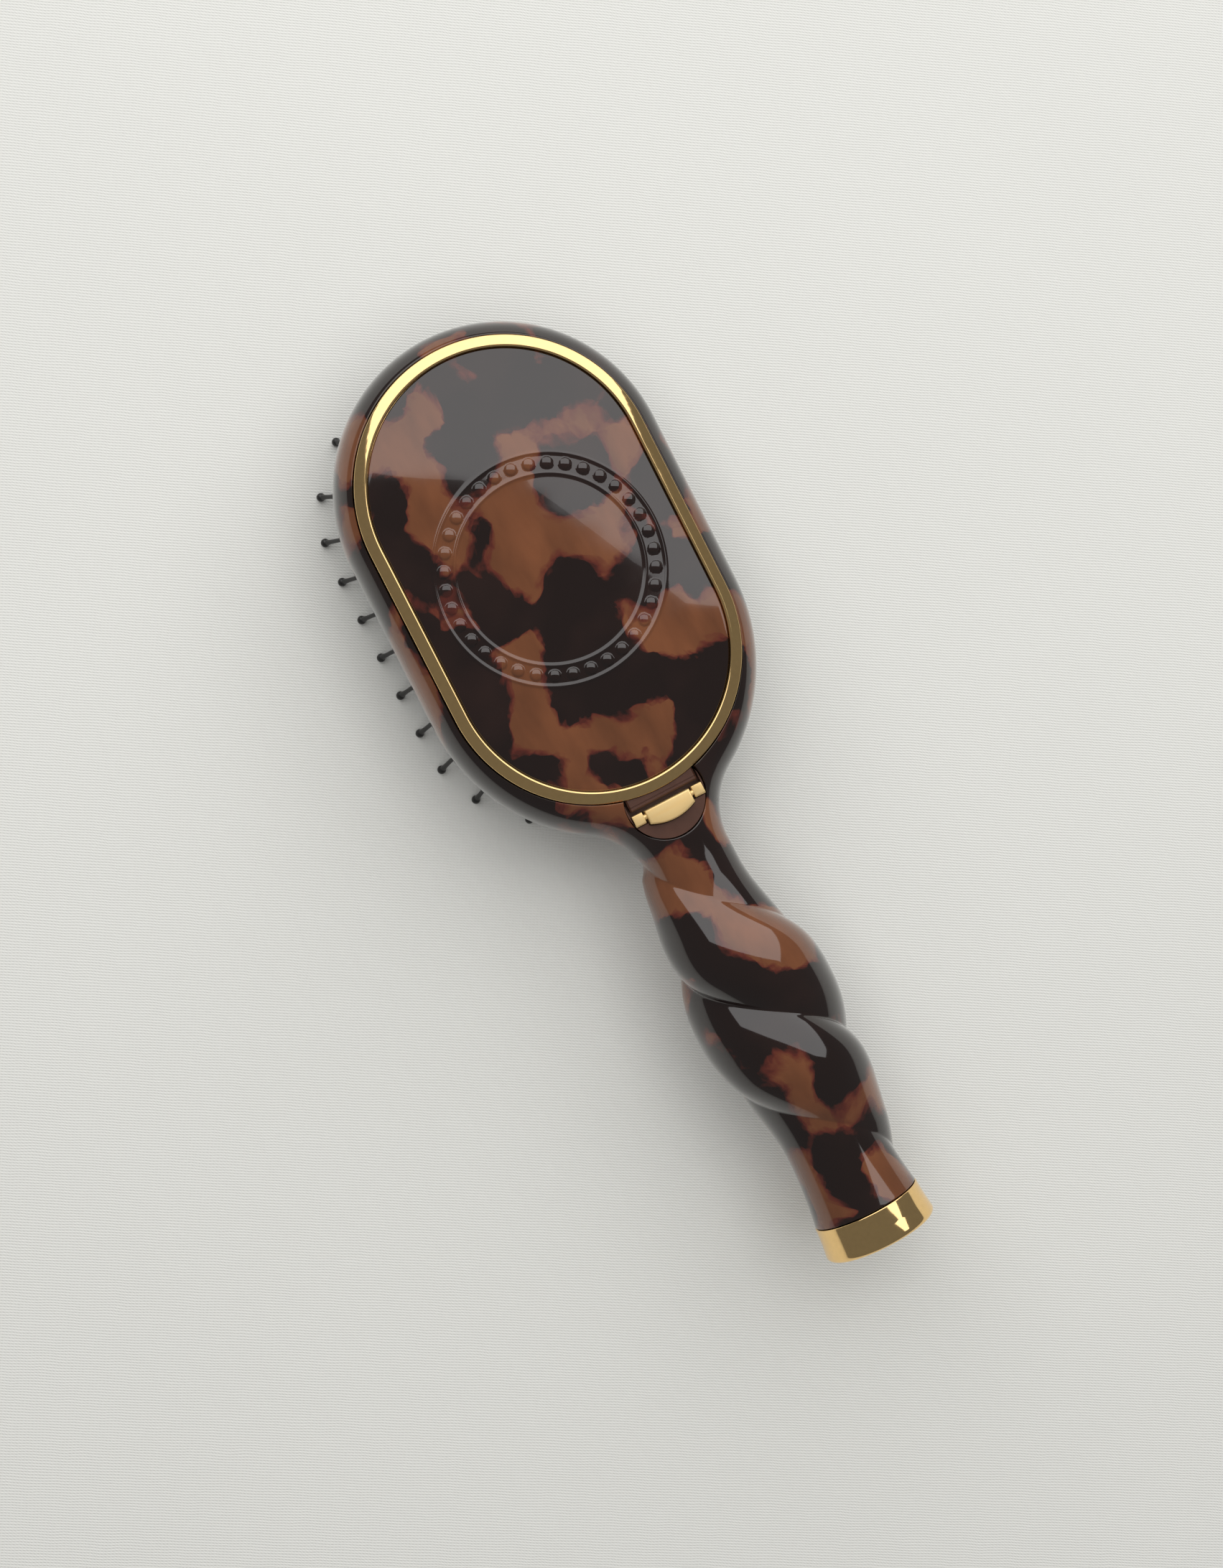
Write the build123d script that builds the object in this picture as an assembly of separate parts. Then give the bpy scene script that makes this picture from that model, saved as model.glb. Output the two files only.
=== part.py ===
"""Vanity hairbrush with a mirror lid, as an assembly of separate pieces.

Millimetres.  X runs across the head, Y runs from the handle to the head, and
Z points up, away from the bristles.  The brush stands on its bristle tips at
z = 0, and the origin is the centre of its bounding box at that height.

The tortoise body is one moulding: a round-edged head, a neck, and a hollow
handle with two twisted strands.  A plain tray fills the top of the head and
carries the hinge.  The gold-rimmed lid opens about the hinge pin and holds a
mirror on its inner face.  A rubber cushion with ball-tipped pins closes the
underside, over an air chamber that lets it give.
"""
from build123d import *
import math
import os

# --- overall sizes -------------------------------------------------------------
overall_length = 218.2
head_straight = 39.0            # length of the straight sides of every stadium outline
head_half_width = 36.6
head_thickness = 22.0
body_bottom = 16.0              # height of the head's underside above the bristle tips
flank_radius = 42.0             # arc from the straight side towards the neck
shoulder_radius = 16.0          # hollow arc from the head into the neck
neck_radius = 9.6
edge_round = 10.0               # of the head's upper and lower edges

# --- handle, with its places measured from the butt end ------------------------
tail_radius = 11.0              # narrowest place behind the twist
tail_place = 23.1
flare_radius = 12.15            # where the handle meets the end cap
flare_hollow = 0.2              # how far the flare sags below a straight line
cap_length = 8.0
cap_end_radius = 13.3
cap_edge_round = 1.3
cap_wall = 1.6
cap_seam = 0.2
bore_radius = 7.0
bore_place = 92.1               # where the bore ends
plug_depth = 9.0

# --- twist, with its places measured from the butt end -------------------------
twist_pitch = 54.0
groove_place = 56.9             # where a groove crosses the top of the handle
strand_radius = 13.8
strand_offset = 3.4
first_strand = (99.1, 62.1, 45.6, 33.6)          # starts, full, fades, ends
second_strand = (89.6, 55.1, 42.1, 20.1)
strand_sections = 17
strand_bury = 0.4               # depth below the core at which a strand starts and ends
core_seam_turn = 45             # degrees; keeps the core's seam off the strands' seams

# --- lid and rim ---------------------------------------------------------------
rim_border = 4.1                # of the head that shows outside the rim
rim_band = 2.7
rim_drop = 2.8                  # of the rim's underside below the head's top
rim_outer_height = 0.9
rim_height = 3.1
rim_lip = 0.6
rim_ledge = 1.2                 # inner ledge that carries the panel
rim_ledge_height = 1.0
panel_thickness = 1.5
panel_rise = 2.0
panel_crown_inset = 14.0
panel_shoulder = 0.7            # share of the rise reached half way in
relief_inset = 6.15             # of the raised ring from the panel's long sides
relief_wire = 0.9
relief_height = 0.5

# --- mirror --------------------------------------------------------------------
frame_band = 2.8
frame_depth = 2.8
glass_thickness = 1.8
tape_thickness = 0.2
tape_inset = 1.0

# --- tray ----------------------------------------------------------------------
web_thickness = 1.8             # floor of the body between tray and air chamber
tray_floor = 1.6
tray_wall = 2.0
tray_step = 0.2                 # of the tray's top below the rim
tongue_radius = 8.9
tongue_setback = 2.2            # of the tongue's centre in front of the rim
tongue_rise = 0.6               # above the rim's underside
tongue_thickness = 4.0
hinge_pocket_depth = 1.9        # below the rim's underside
hinge_pocket_setback = 5.6      # in front of the rim
hinge_pocket_reach = 3.8        # behind the rim's front
tray_screw_x = 12.0
tray_screw_inset = 9.45         # from the tray's inner wall, along the head
tray_screw_head = 2.0
tray_screw_head_height = 1.2
tray_screw_shank = 1.0
tray_screw_length = 5.2
boss_radius = 2.6
boss_drop = 2.4

# --- hinge, with its places measured from the rim's front and underside --------
pin_setback = 4.1
pin_rise = 1.0
pin_radius = 0.6
ear_width = 2.4
ear_radius = 1.3
ear_rise = 0.4                  # of the ear's arm above the pin's axis
ears_overall = 16.7
leaf_setback = 1.9
leaf_reach = 3.6
leaf_plate = 0.8
leaf_band_width = 16.0
leaf_band_rise = 1.6
leaf_band_bevel = 0.8
block_width = 10.7
block_setback = 2.9             # of the side that faces the rim
block_end_depth = 3.1
block_mid_depth = 4.4
block_rise = 2.2
block_bevel = 0.45
small_screw_shank = 0.7
small_screw_head = 1.25
small_screw_head_height = 0.8
small_screw_grip = 1.5
leaf_screw_x = 5.2
leaf_screw_reach = 2.1
block_screw_x = 3.0
block_screw_setback = 5.4

# --- magnetic catch ------------------------------------------------------------
magnet_radius = 1.8
magnet_height = 2.0
latch_boss_width = 9.0
latch_boss_depth = 5.4
latch_plate_length = 8.0
latch_plate_width = 1.8
latch_plate_thickness = 0.6
latch_gap = 0.3

# --- cushion and bristles ------------------------------------------------------
cushion_border = 5.8            # of the head that shows outside the cushion
cushion_recess = 0.4            # of the cushion's edge above the head's underside
cushion_rise = 3.0
cushion_skin = 1.6
cushion_wall = 1.4
cushion_depth = 5.1             # of its wall, up into the air chamber
carrier_band = 3.8
carrier_height = 2.1
vent_radius = 0.8
pin_rows = 11
row_pitch = 8.2
pin_pitch = 7.6
pin_field_inset = 2.3           # of the outermost roots from the cushion's edge
splay_x = 1.33                  # how far the tips spread, as a multiple of the roots
splay_y = 1.15
bristle_shaft = 0.55
bristle_ball = 1.0
bristle_foot_radius = 1.1
bristle_foot_height = 0.8
bristle_foot_lift = 0.7

# --- clearances ----------------------------------------------------------------
seat_gap = 0.2                  # around the tray, cushion and rim
panel_gap = 0.15
glass_gap = 0.2
running_gap = 0.05              # hinge pin in the ears, bristles in the rubber
press_gap = 0.01
side_gap = 0.1
under_gap = 0.1
through = 1.0                   # how far a cut runs past the face that it opens

# --- places worked out from the sizes above --------------------------------------
half_length = overall_length / 2
half_straight = head_straight / 2
head_y = half_length - head_half_width - half_straight
head_top = body_bottom + head_thickness
axis_z = body_bottom + head_thickness / 2
butt_y = -half_length
tail_y = butt_y + tail_place
bore_end_y = butt_y + bore_place
twist_groove_y = butt_y + groove_place
cushion_radius = head_half_width - cushion_border
cushion_edge = body_bottom + cushion_recess
cushion_top = cushion_edge + cushion_depth
pin_field_radius = cushion_radius - pin_field_inset
web_bottom = cushion_top + carrier_height
web_top = web_bottom + web_thickness
rim_outer = head_half_width - rim_border
rim_bottom = head_top - rim_drop
rim_front = head_y - half_straight - rim_outer
tray_top = rim_bottom - tray_step
tray_radius = rim_outer - running_gap
well_radius = tray_radius - tray_wall
rim_inner = rim_outer - rim_band
panel_radius = rim_inner - panel_gap
panel_bottom = rim_bottom + rim_ledge_height
panel_edge_top = panel_bottom + panel_thickness
frame_radius = rim_inner - rim_ledge - seat_gap
frame_inner = frame_radius - frame_band
frame_bottom = panel_bottom - frame_depth
glass_radius = frame_inner - glass_gap
relief_radius = panel_radius - relief_inset
cap_start_y = butt_y + cap_length
tail_end_y = cap_start_y + cap_seam
opening_radius = cushion_radius + seat_gap
tray_screw_offset = half_straight + well_radius - tray_screw_inset
latch_y = head_y + half_straight + frame_radius - frame_band / 2
tongue_y = rim_front - tongue_setback
tongue_top = rim_bottom + tongue_rise
tongue_bottom = tongue_top - tongue_thickness
hinge_pocket_floor = rim_bottom - hinge_pocket_depth
hinge_pocket_front = rim_front - hinge_pocket_setback
hinge_pocket_back = rim_front + hinge_pocket_reach
pin_y = rim_front - pin_setback
pin_z = rim_bottom + pin_rise
leaf_front = rim_front - leaf_setback
leaf_back = rim_front + leaf_reach
leaf_band_top = rim_bottom + leaf_band_rise
block_front = rim_front - block_setback
block_top = rim_bottom + block_rise
leaf_screw_y = rim_front + leaf_screw_reach
block_screw_y = rim_front - block_screw_setback


def stadium(radius, bottom, top):
    """Upright solid whose outline is the head's stadium with the given end radius."""
    outline = SlotCenterToCenter(head_straight, 2 * radius, rotation=90)
    return extrude(Pos(0, head_y, bottom) * outline, amount=top - bottom)


def stadium_hill(levels):
    """Solid through stadium outlines, given as (radius, height) pairs."""
    outlines = [
        Pos(0, head_y, height) * SlotCenterToCenter(head_straight, 2 * radius, rotation=90)
        for radius, height in levels
    ]
    return loft(outlines, ruled=True)


def block_between(x_half, y_from, y_to, z_from, z_to):
    """Box centred on x = 0 between the given limits."""
    size = (2 * x_half, y_to - y_from, z_to - z_from)
    return Pos(0, (y_from + y_to) / 2, (z_from + z_to) / 2) * Box(*size)


def upright(radius, x, y, bottom, top):
    """Vertical cylinder between two heights."""
    place = Pos(x, y, bottom)
    return place * Cylinder(radius, top - bottom, align=(Align.CENTER, Align.CENTER, Align.MIN))


def across(radius, x_from, x_to, y, z):
    """Cylinder along X between two places."""
    turn = Pos((x_from + x_to) / 2, y, z) * Rot(0, 90, 0)
    return turn * Cylinder(radius, x_to - x_from)


def both_sides(make):
    """The piece made at +x and its twin at -x."""
    return [make(1), make(-1)]


# --- body ------------------------------------------------------------------------
def shoulder_centre():
    """Centre of the right-hand hollow arc between flank and neck."""
    x = neck_radius + shoulder_radius
    flank_x = head_half_width - flank_radius
    reach = flank_radius + shoulder_radius
    y = head_y - half_straight - math.sqrt(reach**2 - (x - flank_x) ** 2)
    return x, y


def neck_cut_y():
    """Where the neck is as wide as the head is thick, so the section is a circle."""
    x, y = shoulder_centre()
    return y + math.sqrt(shoulder_radius**2 - (x - head_thickness / 2) ** 2)


def arc_between(centre, radius, start_angle, end_angle):
    """Arc about a centre, from one angle to another, in degrees."""
    turn = end_angle - start_angle
    return CenterArc((centre[0], centre[1], 0), radius, start_angle, turn)


def head_outline():
    """Plan of the head and shoulders, down to where the round neck takes over."""
    upper_y = head_y + half_straight
    lower_y = head_y - half_straight
    shoulder_x, shoulder_y = shoulder_centre()
    flank = (head_half_width - flank_radius, lower_y)
    toward = math.degrees(math.atan2(shoulder_y - lower_y, shoulder_x - flank[0]))
    cut_y = neck_cut_y()
    cut_angle = math.degrees(math.atan2(cut_y - shoulder_y, head_thickness / 2 - shoulder_x))
    right = [
        Line((head_half_width, upper_y), (head_half_width, lower_y)),
        arc_between(flank, flank_radius, 0, toward),
        arc_between((shoulder_x, shoulder_y), shoulder_radius, toward + 180, cut_angle),
    ]
    left = [mirror(edge, about=Plane.YZ) for edge in right]
    crown = arc_between((0, upper_y), head_half_width, 0, 180)
    close = Line((head_thickness / 2, cut_y), (-head_thickness / 2, cut_y))
    return make_face([crown, *right, *left, close])


def head_block():
    """Head and shoulders with their rounded edges."""
    slab = extrude(Pos(0, 0, body_bottom) * head_outline(), amount=head_thickness)
    cut_y = neck_cut_y()
    rims = [
        edge
        for face in (slab.faces().sort_by(Axis.Z)[-1], slab.faces().sort_by(Axis.Z)[0])
        for edge in face.edges()
        if edge.center().Y > cut_y + side_gap
    ]
    return fillet(rims, edge_round)


def core_profile():
    """Half section of the round neck and handle, drawn in radius and y."""
    shoulder_x, shoulder_y = shoulder_centre()
    cut_y = neck_cut_y()
    start_angle = math.degrees(math.atan2(cut_y - shoulder_y, head_thickness / 2 - shoulder_x))
    neck = arc_between((shoulder_x, shoulder_y), shoulder_radius, start_angle, 180)
    flare_mid = ((tail_radius + flare_radius) / 2 - flare_hollow, (tail_y + tail_end_y) / 2)
    return make_face([
        Line((0, 0), (head_thickness / 2, 0)),
        Line((head_thickness / 2, 0), (head_thickness / 2, cut_y)),
        neck,
        Line((neck_radius, shoulder_y), (tail_radius, tail_y)),
        ThreePointArc((tail_radius, tail_y), flare_mid, (flare_radius, tail_end_y)),
        Line((flare_radius, tail_end_y), (0, tail_end_y)),
        Line((0, tail_end_y), (0, 0)),
    ])


def core_radius(y):
    """Radius of the plain core along the twist."""
    neck_y = shoulder_centre()[1]
    share = (neck_y - y) / (neck_y - tail_y)
    return neck_radius + (tail_radius - neck_radius) * min(max(share, 0), 1)


def smooth(share):
    """Smooth step from 0 to 1."""
    share = min(max(share, 0), 1)
    return share * share * (3 - 2 * share)


def strand_section(y, window, start_angle):
    """Circle of one strand where it crosses the given y."""
    starts, full, fades, ends = [butt_y + place for place in window]
    rise = smooth((starts - y) / (starts - full))
    fall = smooth((y - ends) / (fades - ends))
    share = rise * fall
    radius = (core_radius(y) - strand_bury) * (1 - share) + strand_radius * share
    angle = math.radians((y - twist_groove_y) * 360 / twist_pitch + start_angle)
    x = strand_offset * share * math.cos(angle)
    z = axis_z + strand_offset * share * math.sin(angle)
    return Plane((x, y, z), x_dir=(1, 0, 0), z_dir=(0, -1, 0)) * Circle(radius)


def strand(window, start_angle):
    """One twisted strand, lofted through circles that follow a helix."""
    starts, ends = butt_y + window[0], butt_y + window[-1]
    step = (ends - starts) / (strand_sections - 1)
    places = [starts + step * index for index in range(strand_sections)]
    return loft([strand_section(y, window, start_angle) for y in places])


def screw_places():
    """Plan places of the four tray screws."""
    return [
        (side * tray_screw_x, head_y + end * tray_screw_offset)
        for side in (-1, 1)
        for end in (-1, 1)
    ]


def body_shell():
    """Head, neck and handle in one moulding, with its tray well, chamber and bore."""
    core = Pos(0, 0, axis_z) * Rot(0, core_seam_turn, 0) * revolve(core_profile(), Axis.Y)
    twist = strand(first_strand, 0) + strand(second_strand, 180)
    body = head_block() + (core + twist)
    body -= stadium(rim_outer + seat_gap, web_top, head_top + through)
    body -= stadium(opening_radius, body_bottom - through, web_bottom)
    pocket_bottom = tongue_bottom - under_gap
    body -= upright(tongue_radius + seat_gap, 0, tongue_y, pocket_bottom, head_top + through)
    bore_length = bore_end_y - tail_end_y + through
    bore = Pos(0, bore_end_y - bore_length / 2, axis_z) * Rot(90, 0, 0)
    body -= bore * Cylinder(bore_radius, bore_length)
    for x, y in screw_places():
        body += upright(boss_radius, x, y, web_bottom - boss_drop, web_top)
        depth = web_top + tray_floor - tray_screw_length - seat_gap
        body -= upright(tray_screw_shank + press_gap, x, y, depth, web_top + through)
    return body


# --- handle end --------------------------------------------------------------------
def turned(profile):
    """Solid of revolution about the handle's axis from (radius, y) points."""
    return Pos(0, 0, axis_z) * revolve(make_face(Polyline(*profile, close=True)), Axis.Y)


def end_plug():
    """Plug in the handle's bore, with the disc that the cap is bonded to."""
    stem = bore_radius - running_gap
    disc = flare_radius - cap_wall - seat_gap
    disc_end = butt_y + cap_wall
    return turned([
        (0, tail_end_y + plug_depth),
        (stem, tail_end_y + plug_depth),
        (stem, tail_end_y),
        (disc, tail_end_y),
        (disc, disc_end),
        (0, disc_end),
    ])


def end_cap():
    """Flared gold cap with a rounded end edge."""
    inner = flare_radius - cap_wall
    cap = turned([
        (inner, cap_start_y),
        (flare_radius + side_gap, cap_start_y),
        (cap_end_radius, butt_y),
        (0, butt_y),
        (0, butt_y + cap_wall),
        (inner, butt_y + cap_wall),
    ])
    end_edge = cap.edges().filter_by(GeomType.CIRCLE).sort_by(Axis.Y)[0]
    return fillet(end_edge, cap_edge_round)


# --- tray ----------------------------------------------------------------------------
def hinge_block_outline(growth):
    """D-shaped plan of the hinge block, grown by a clearance."""
    half = block_width / 2 + growth
    front = block_front + growth
    ends = block_front - block_end_depth - growth
    middle = block_front - block_mid_depth - growth
    return make_face([
        Line((half, ends), (half, front)),
        Line((half, front), (-half, front)),
        Line((-half, front), (-half, ends)),
        ThreePointArc((-half, ends), (0, middle), (half, ends)),
    ])


def compartment_tray():
    """Plain tray with a round tongue that carries the hinge."""
    tray = stadium(tray_radius, web_top, tray_top)
    tongue = upright(tongue_radius, 0, tongue_y, tongue_bottom, tongue_top)
    tongue_back = tongue_y + tongue_radius + through
    tongue -= block_between(
        tongue_radius, rim_front - seat_gap, tongue_back, tray_top, tongue_top
    )
    tray += tongue
    tray -= stadium(well_radius, web_top + tray_floor, tray_top + through)
    boss_back = head_y + half_straight + well_radius + tray_wall / 2
    boss_top = frame_bottom - latch_gap
    boss_front = boss_back - latch_boss_depth
    half = latch_boss_width / 2
    tray += block_between(half, boss_front, boss_back, web_top, boss_top)
    seat = boss_top - magnet_height - under_gap
    tray -= upright(magnet_radius + running_gap, 0, latch_y, seat, boss_top + through)
    pocket_half = ears_overall / 2 + seat_gap
    pocket_top = tongue_top + through
    tray -= block_between(
        pocket_half, hinge_pocket_front, hinge_pocket_back, hinge_pocket_floor, pocket_top
    )
    block_seat = Pos(0, 0, hinge_pocket_floor) * hinge_block_outline(seat_gap)
    tray -= extrude(block_seat, amount=pocket_top - hinge_pocket_floor)
    for side in (-1, 1):
        x = side * block_screw_x
        shank = small_screw_shank + running_gap
        head = small_screw_head + seat_gap
        sunk = tongue_bottom + small_screw_head_height
        tray -= upright(shank, x, block_screw_y, tongue_bottom, tongue_top)
        tray -= upright(head, x, block_screw_y, tongue_bottom - through, sunk)
    hole_top = web_top + tray_floor + through
    for x, y in screw_places():
        tray -= upright(tray_screw_shank + running_gap, x, y, web_top - through, hole_top)
    return tray


def tray_screws():
    """Four screws that hold the tray to the body's web."""
    floor = web_top + tray_floor
    return [
        upright(tray_screw_shank, x, y, floor - tray_screw_length, floor)
        + upright(tray_screw_head, x, y, floor, floor + tray_screw_head_height)
        for x, y in screw_places()
    ]


def latch_magnet():
    """Disc magnet set in the tray's boss."""
    top = frame_bottom - latch_gap
    return upright(magnet_radius, 0, latch_y, top - magnet_height, top)


# --- lid -----------------------------------------------------------------------------
def lid_rim():
    """Gold rim with an outward-sloping face, a thin lip and an inner ledge."""
    low = rim_bottom + rim_outer_height
    top = rim_bottom + rim_height
    rim = stadium(rim_outer, rim_bottom, low)
    rim += stadium_hill([(rim_outer, low), (rim_inner + rim_lip, top)])
    rim -= stadium(rim_inner, panel_bottom, top + through)
    rim -= stadium(rim_inner - rim_ledge, rim_bottom - through, panel_bottom)
    for side in (-1, 1):
        rim -= upright(
            small_screw_shank + press_gap,
            side * leaf_screw_x,
            leaf_screw_y,
            rim_bottom - through,
            rim_bottom + small_screw_grip + side_gap,
        )
    return rim


def lid_panel():
    """Low-domed panel with one raised ring."""
    crown = panel_edge_top + panel_rise
    panel = stadium(panel_radius, panel_bottom, panel_edge_top)
    panel += stadium_hill([
        (panel_radius, panel_edge_top),
        (panel_radius - panel_crown_inset / 2, panel_edge_top + panel_rise * panel_shoulder),
        (panel_radius - panel_crown_inset, crown),
    ])
    ring_z = crown + relief_height - relief_wire
    return panel + Pos(0, head_y, ring_z) * Torus(relief_radius, relief_wire)


def mirror_frame():
    """Frame behind the lid that surrounds the glass."""
    frame = stadium(frame_radius, frame_bottom, panel_bottom)
    frame -= stadium(frame_inner, frame_bottom - through, panel_bottom + through)
    plate = Box(
        latch_plate_length + 2 * side_gap,
        latch_plate_width + 2 * side_gap,
        2 * (latch_plate_thickness + side_gap),
    )
    return frame - Pos(0, latch_y, frame_bottom) * plate


def latch_plate():
    """Steel strip that the magnet pulls."""
    size = (latch_plate_length, latch_plate_width, latch_plate_thickness)
    return Pos(0, latch_y, frame_bottom + latch_plate_thickness / 2 + side_gap) * Box(*size)


def mirror_glass():
    """Glass plate in the frame."""
    top = panel_bottom - tape_thickness
    return stadium(glass_radius, top - glass_thickness, top)


def mirror_tape():
    """Double-sided tape between glass and panel."""
    return stadium(glass_radius - tape_inset, panel_bottom - tape_thickness, panel_bottom)


# --- hinge ---------------------------------------------------------------------------
def hinge_leaf():
    """Leaf screwed under the rim, with two ears on the pin."""
    ear_outer = ears_overall / 2
    ear_inner = ear_outer - ear_width
    plate_top = rim_bottom
    plate_bottom = plate_top - leaf_plate
    leaf = block_between(leaf_band_width / 2, leaf_front, leaf_back, plate_bottom, plate_top)
    band = block_between(leaf_band_width / 2, leaf_front, leaf_back, plate_top, leaf_band_top)
    front_edge = band.edges().filter_by(Axis.X).sort_by(Axis.Y)[:2].sort_by(Axis.Z)[-1]
    band = chamfer(front_edge, leaf_band_bevel)
    leaf += band - stadium(rim_outer + side_gap, plate_top, leaf_band_top + through)
    for side in (-1, 1):
        middle = side * (ear_outer + ear_inner) / 2
        near = middle - ear_width / 2
        far = middle + ear_width / 2
        leaf += across(ear_radius, near, far, pin_y, pin_z)
        arm = block_between(ear_width / 2, pin_y, leaf_front, pin_z - ear_radius, pin_z + ear_rise)
        root = block_between(
            ear_width / 2, leaf_front, leaf_front + ear_radius, plate_bottom, pin_z
        )
        leaf += Pos(middle, 0, 0) * (arm + root)
        leaf -= across(pin_radius + running_gap, near - through, far + through, pin_y, pin_z)
        leaf -= upright(
            small_screw_shank + running_gap,
            side * leaf_screw_x,
            leaf_screw_y,
            plate_bottom - through,
            plate_top + through,
        )
    return leaf


def hinge_block():
    """D-shaped knuckle fixed to the tongue, between the ears."""
    outline = Pos(0, 0, hinge_pocket_floor) * hinge_block_outline(0)
    block = extrude(outline, amount=block_top - hinge_pocket_floor)
    block = chamfer(block.faces().sort_by(Axis.Z)[-1].edges(), block_bevel)
    block -= across(pin_radius + press_gap, -block_width, block_width, pin_y, pin_z)
    for side in (-1, 1):
        grip_top = hinge_pocket_floor + small_screw_grip + side_gap
        x = side * block_screw_x
        start = hinge_pocket_floor - through
        block -= upright(small_screw_shank + press_gap, x, block_screw_y, start, grip_top)
    return block


def hinge_pin():
    """Pin through both ears and the block."""
    return across(pin_radius, -ears_overall / 2, ears_overall / 2, pin_y, pin_z)


def small_screw(x, y, head_face, tip):
    """Pan-head screw driven upwards, with its head below the given face."""
    head = upright(small_screw_head, x, y, head_face - small_screw_head_height, head_face)
    return head + upright(small_screw_shank, x, y, head_face, tip)


def hinge_leaf_screws():
    """Two screws from the leaf up into the rim."""
    return both_sides(
        lambda side: small_screw(
            side * leaf_screw_x, leaf_screw_y, rim_bottom - leaf_plate, rim_bottom + small_screw_grip
        )
    )


def hinge_block_screws():
    """Two screws from under the tongue up into the block."""
    return both_sides(
        lambda side: small_screw(
            side * block_screw_x,
            block_screw_y,
            tongue_bottom + small_screw_head_height,
            hinge_pocket_floor + small_screw_grip,
        )
    )


# --- cushion and bristles --------------------------------------------------------------
def dome_z(radius):
    """Height of the cushion's outer face at a stadium radius."""
    return cushion_edge - cushion_rise * (1 - (radius / cushion_radius) ** 2)


def cushion_form(inset, lift):
    """Domed plug shape of the cushion, drawn smaller and higher for its inside."""
    shares = (0.25, 0.5, 0.75, 1.0)
    outer = [share * cushion_radius for share in shares]
    levels = [(radius - inset, dome_z(radius) + lift) for radius in outer]
    dome = stadium_hill(levels)
    return dome + stadium(cushion_radius - inset, levels[-1][1], cushion_top + inset)


def pin_roots(row):
    """Plan places of the roots of one row of bristles, relative to the head's centre."""
    y = (row - (pin_rows - 1) / 2) * row_pitch
    beyond = max(abs(y) - half_straight, 0)
    half = math.sqrt(pin_field_radius**2 - beyond**2)
    steps = round(half / pin_pitch)
    return [(half * index / steps, y) for index in range(-steps, steps + 1)]


def bristle_frame(x, y):
    """Plane at a bristle's ball, facing its root, and the distance to the root."""
    reach = math.hypot(x, max(abs(y) - half_straight, 0))
    root = Vector(x, head_y + y, dome_z(reach))
    tip = Vector(x * splay_x, head_y + y * splay_y, bristle_ball)
    shaft = root - tip
    return Plane(tip, z_dir=shaft), shaft.length


def rod(plane, radius, start, end):
    """Cylinder along a plane's normal."""
    base = (Align.CENTER, Align.CENTER, Align.MIN)
    return plane * Pos(0, 0, start) * Cylinder(radius, end - start, align=base)


def bristle(x, y):
    """Pin with a ball tip below the rubber and a flat foot above it."""
    plane, length = bristle_frame(x, y)
    skin = cushion_skin / plane.z_dir.Z
    foot = length + skin + bristle_foot_lift
    pin = plane * Sphere(bristle_ball)
    pin += rod(plane, bristle_shaft, 0, foot)
    return pin + rod(plane, bristle_foot_radius, foot, foot + bristle_foot_height)


def bristle_row(row):
    """One row of bristles."""
    return [bristle(x, y) for x, y in pin_roots(row)]


def cushion():
    """Domed rubber cushion with a hole for each bristle and one vent."""
    rubber = cushion_form(0, 0) - cushion_form(cushion_wall, cushion_skin)
    holes = []
    for row in range(pin_rows):
        for x, y in pin_roots(row):
            plane, length = bristle_frame(x, y)
            end = length + 2 * cushion_skin / plane.z_dir.Z
            holes.append(rod(plane, bristle_shaft + running_gap, length - cushion_skin, end))
    vent_x = pin_field_radius / round(pin_field_radius / pin_pitch) / 2
    holes.append(upright(vent_radius, vent_x, head_y + row_pitch / 2, 0, cushion_top))
    return rubber - holes


def cushion_frame():
    """Carrier ring that holds the cushion's wall under the web."""
    ring = stadium(cushion_radius, cushion_top, web_bottom)
    inner = cushion_radius - carrier_band
    return ring - stadium(inner, cushion_top - through, web_bottom + through)


def save(name, solids):
    """Write one node, a single solid or a group of separate ones."""
    shape = Compound(children=solids) if isinstance(solids, list) else solids
    export_step(shape, f"parts/{name}.step")


def main():
    os.makedirs("parts", exist_ok=True)
    save("body_shell", body_shell())
    save("end_plug", end_plug())
    save("end_cap", end_cap())
    save("compartment_tray", compartment_tray())
    save("tray_screws", tray_screws())
    save("latch_magnet", latch_magnet())
    save("lid_rim", lid_rim())
    save("lid_panel", lid_panel())
    save("mirror_frame", mirror_frame())
    save("mirror_glass", mirror_glass())
    save("mirror_tape", mirror_tape())
    save("latch_plate", latch_plate())
    save("hinge_leaf", hinge_leaf())
    save("hinge_block", hinge_block())
    save("hinge_pin", hinge_pin())
    save("hinge_leaf_screws", hinge_leaf_screws())
    save("hinge_block_screws", hinge_block_screws())
    save("cushion", cushion())
    save("cushion_frame", cushion_frame())
    for row in range(pin_rows):
        save(f"bristle_row_{row + 1:02d}", bristle_row(row))


main()
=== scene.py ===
"""Vanity hairbrush with a mirror lid: its finished look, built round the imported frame.

Everything is in metres, in the frame's own axes: X across the head, Y from the handle to
the head, Z up from the bristle tips.  Every new piece is a surface worked out on a grid.
"""
import math

import bmesh
import bpy
import numpy as np
from bpy.props import FloatProperty, FloatVectorProperty, IntProperty, PointerProperty
from mathutils import Matrix, Vector


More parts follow.
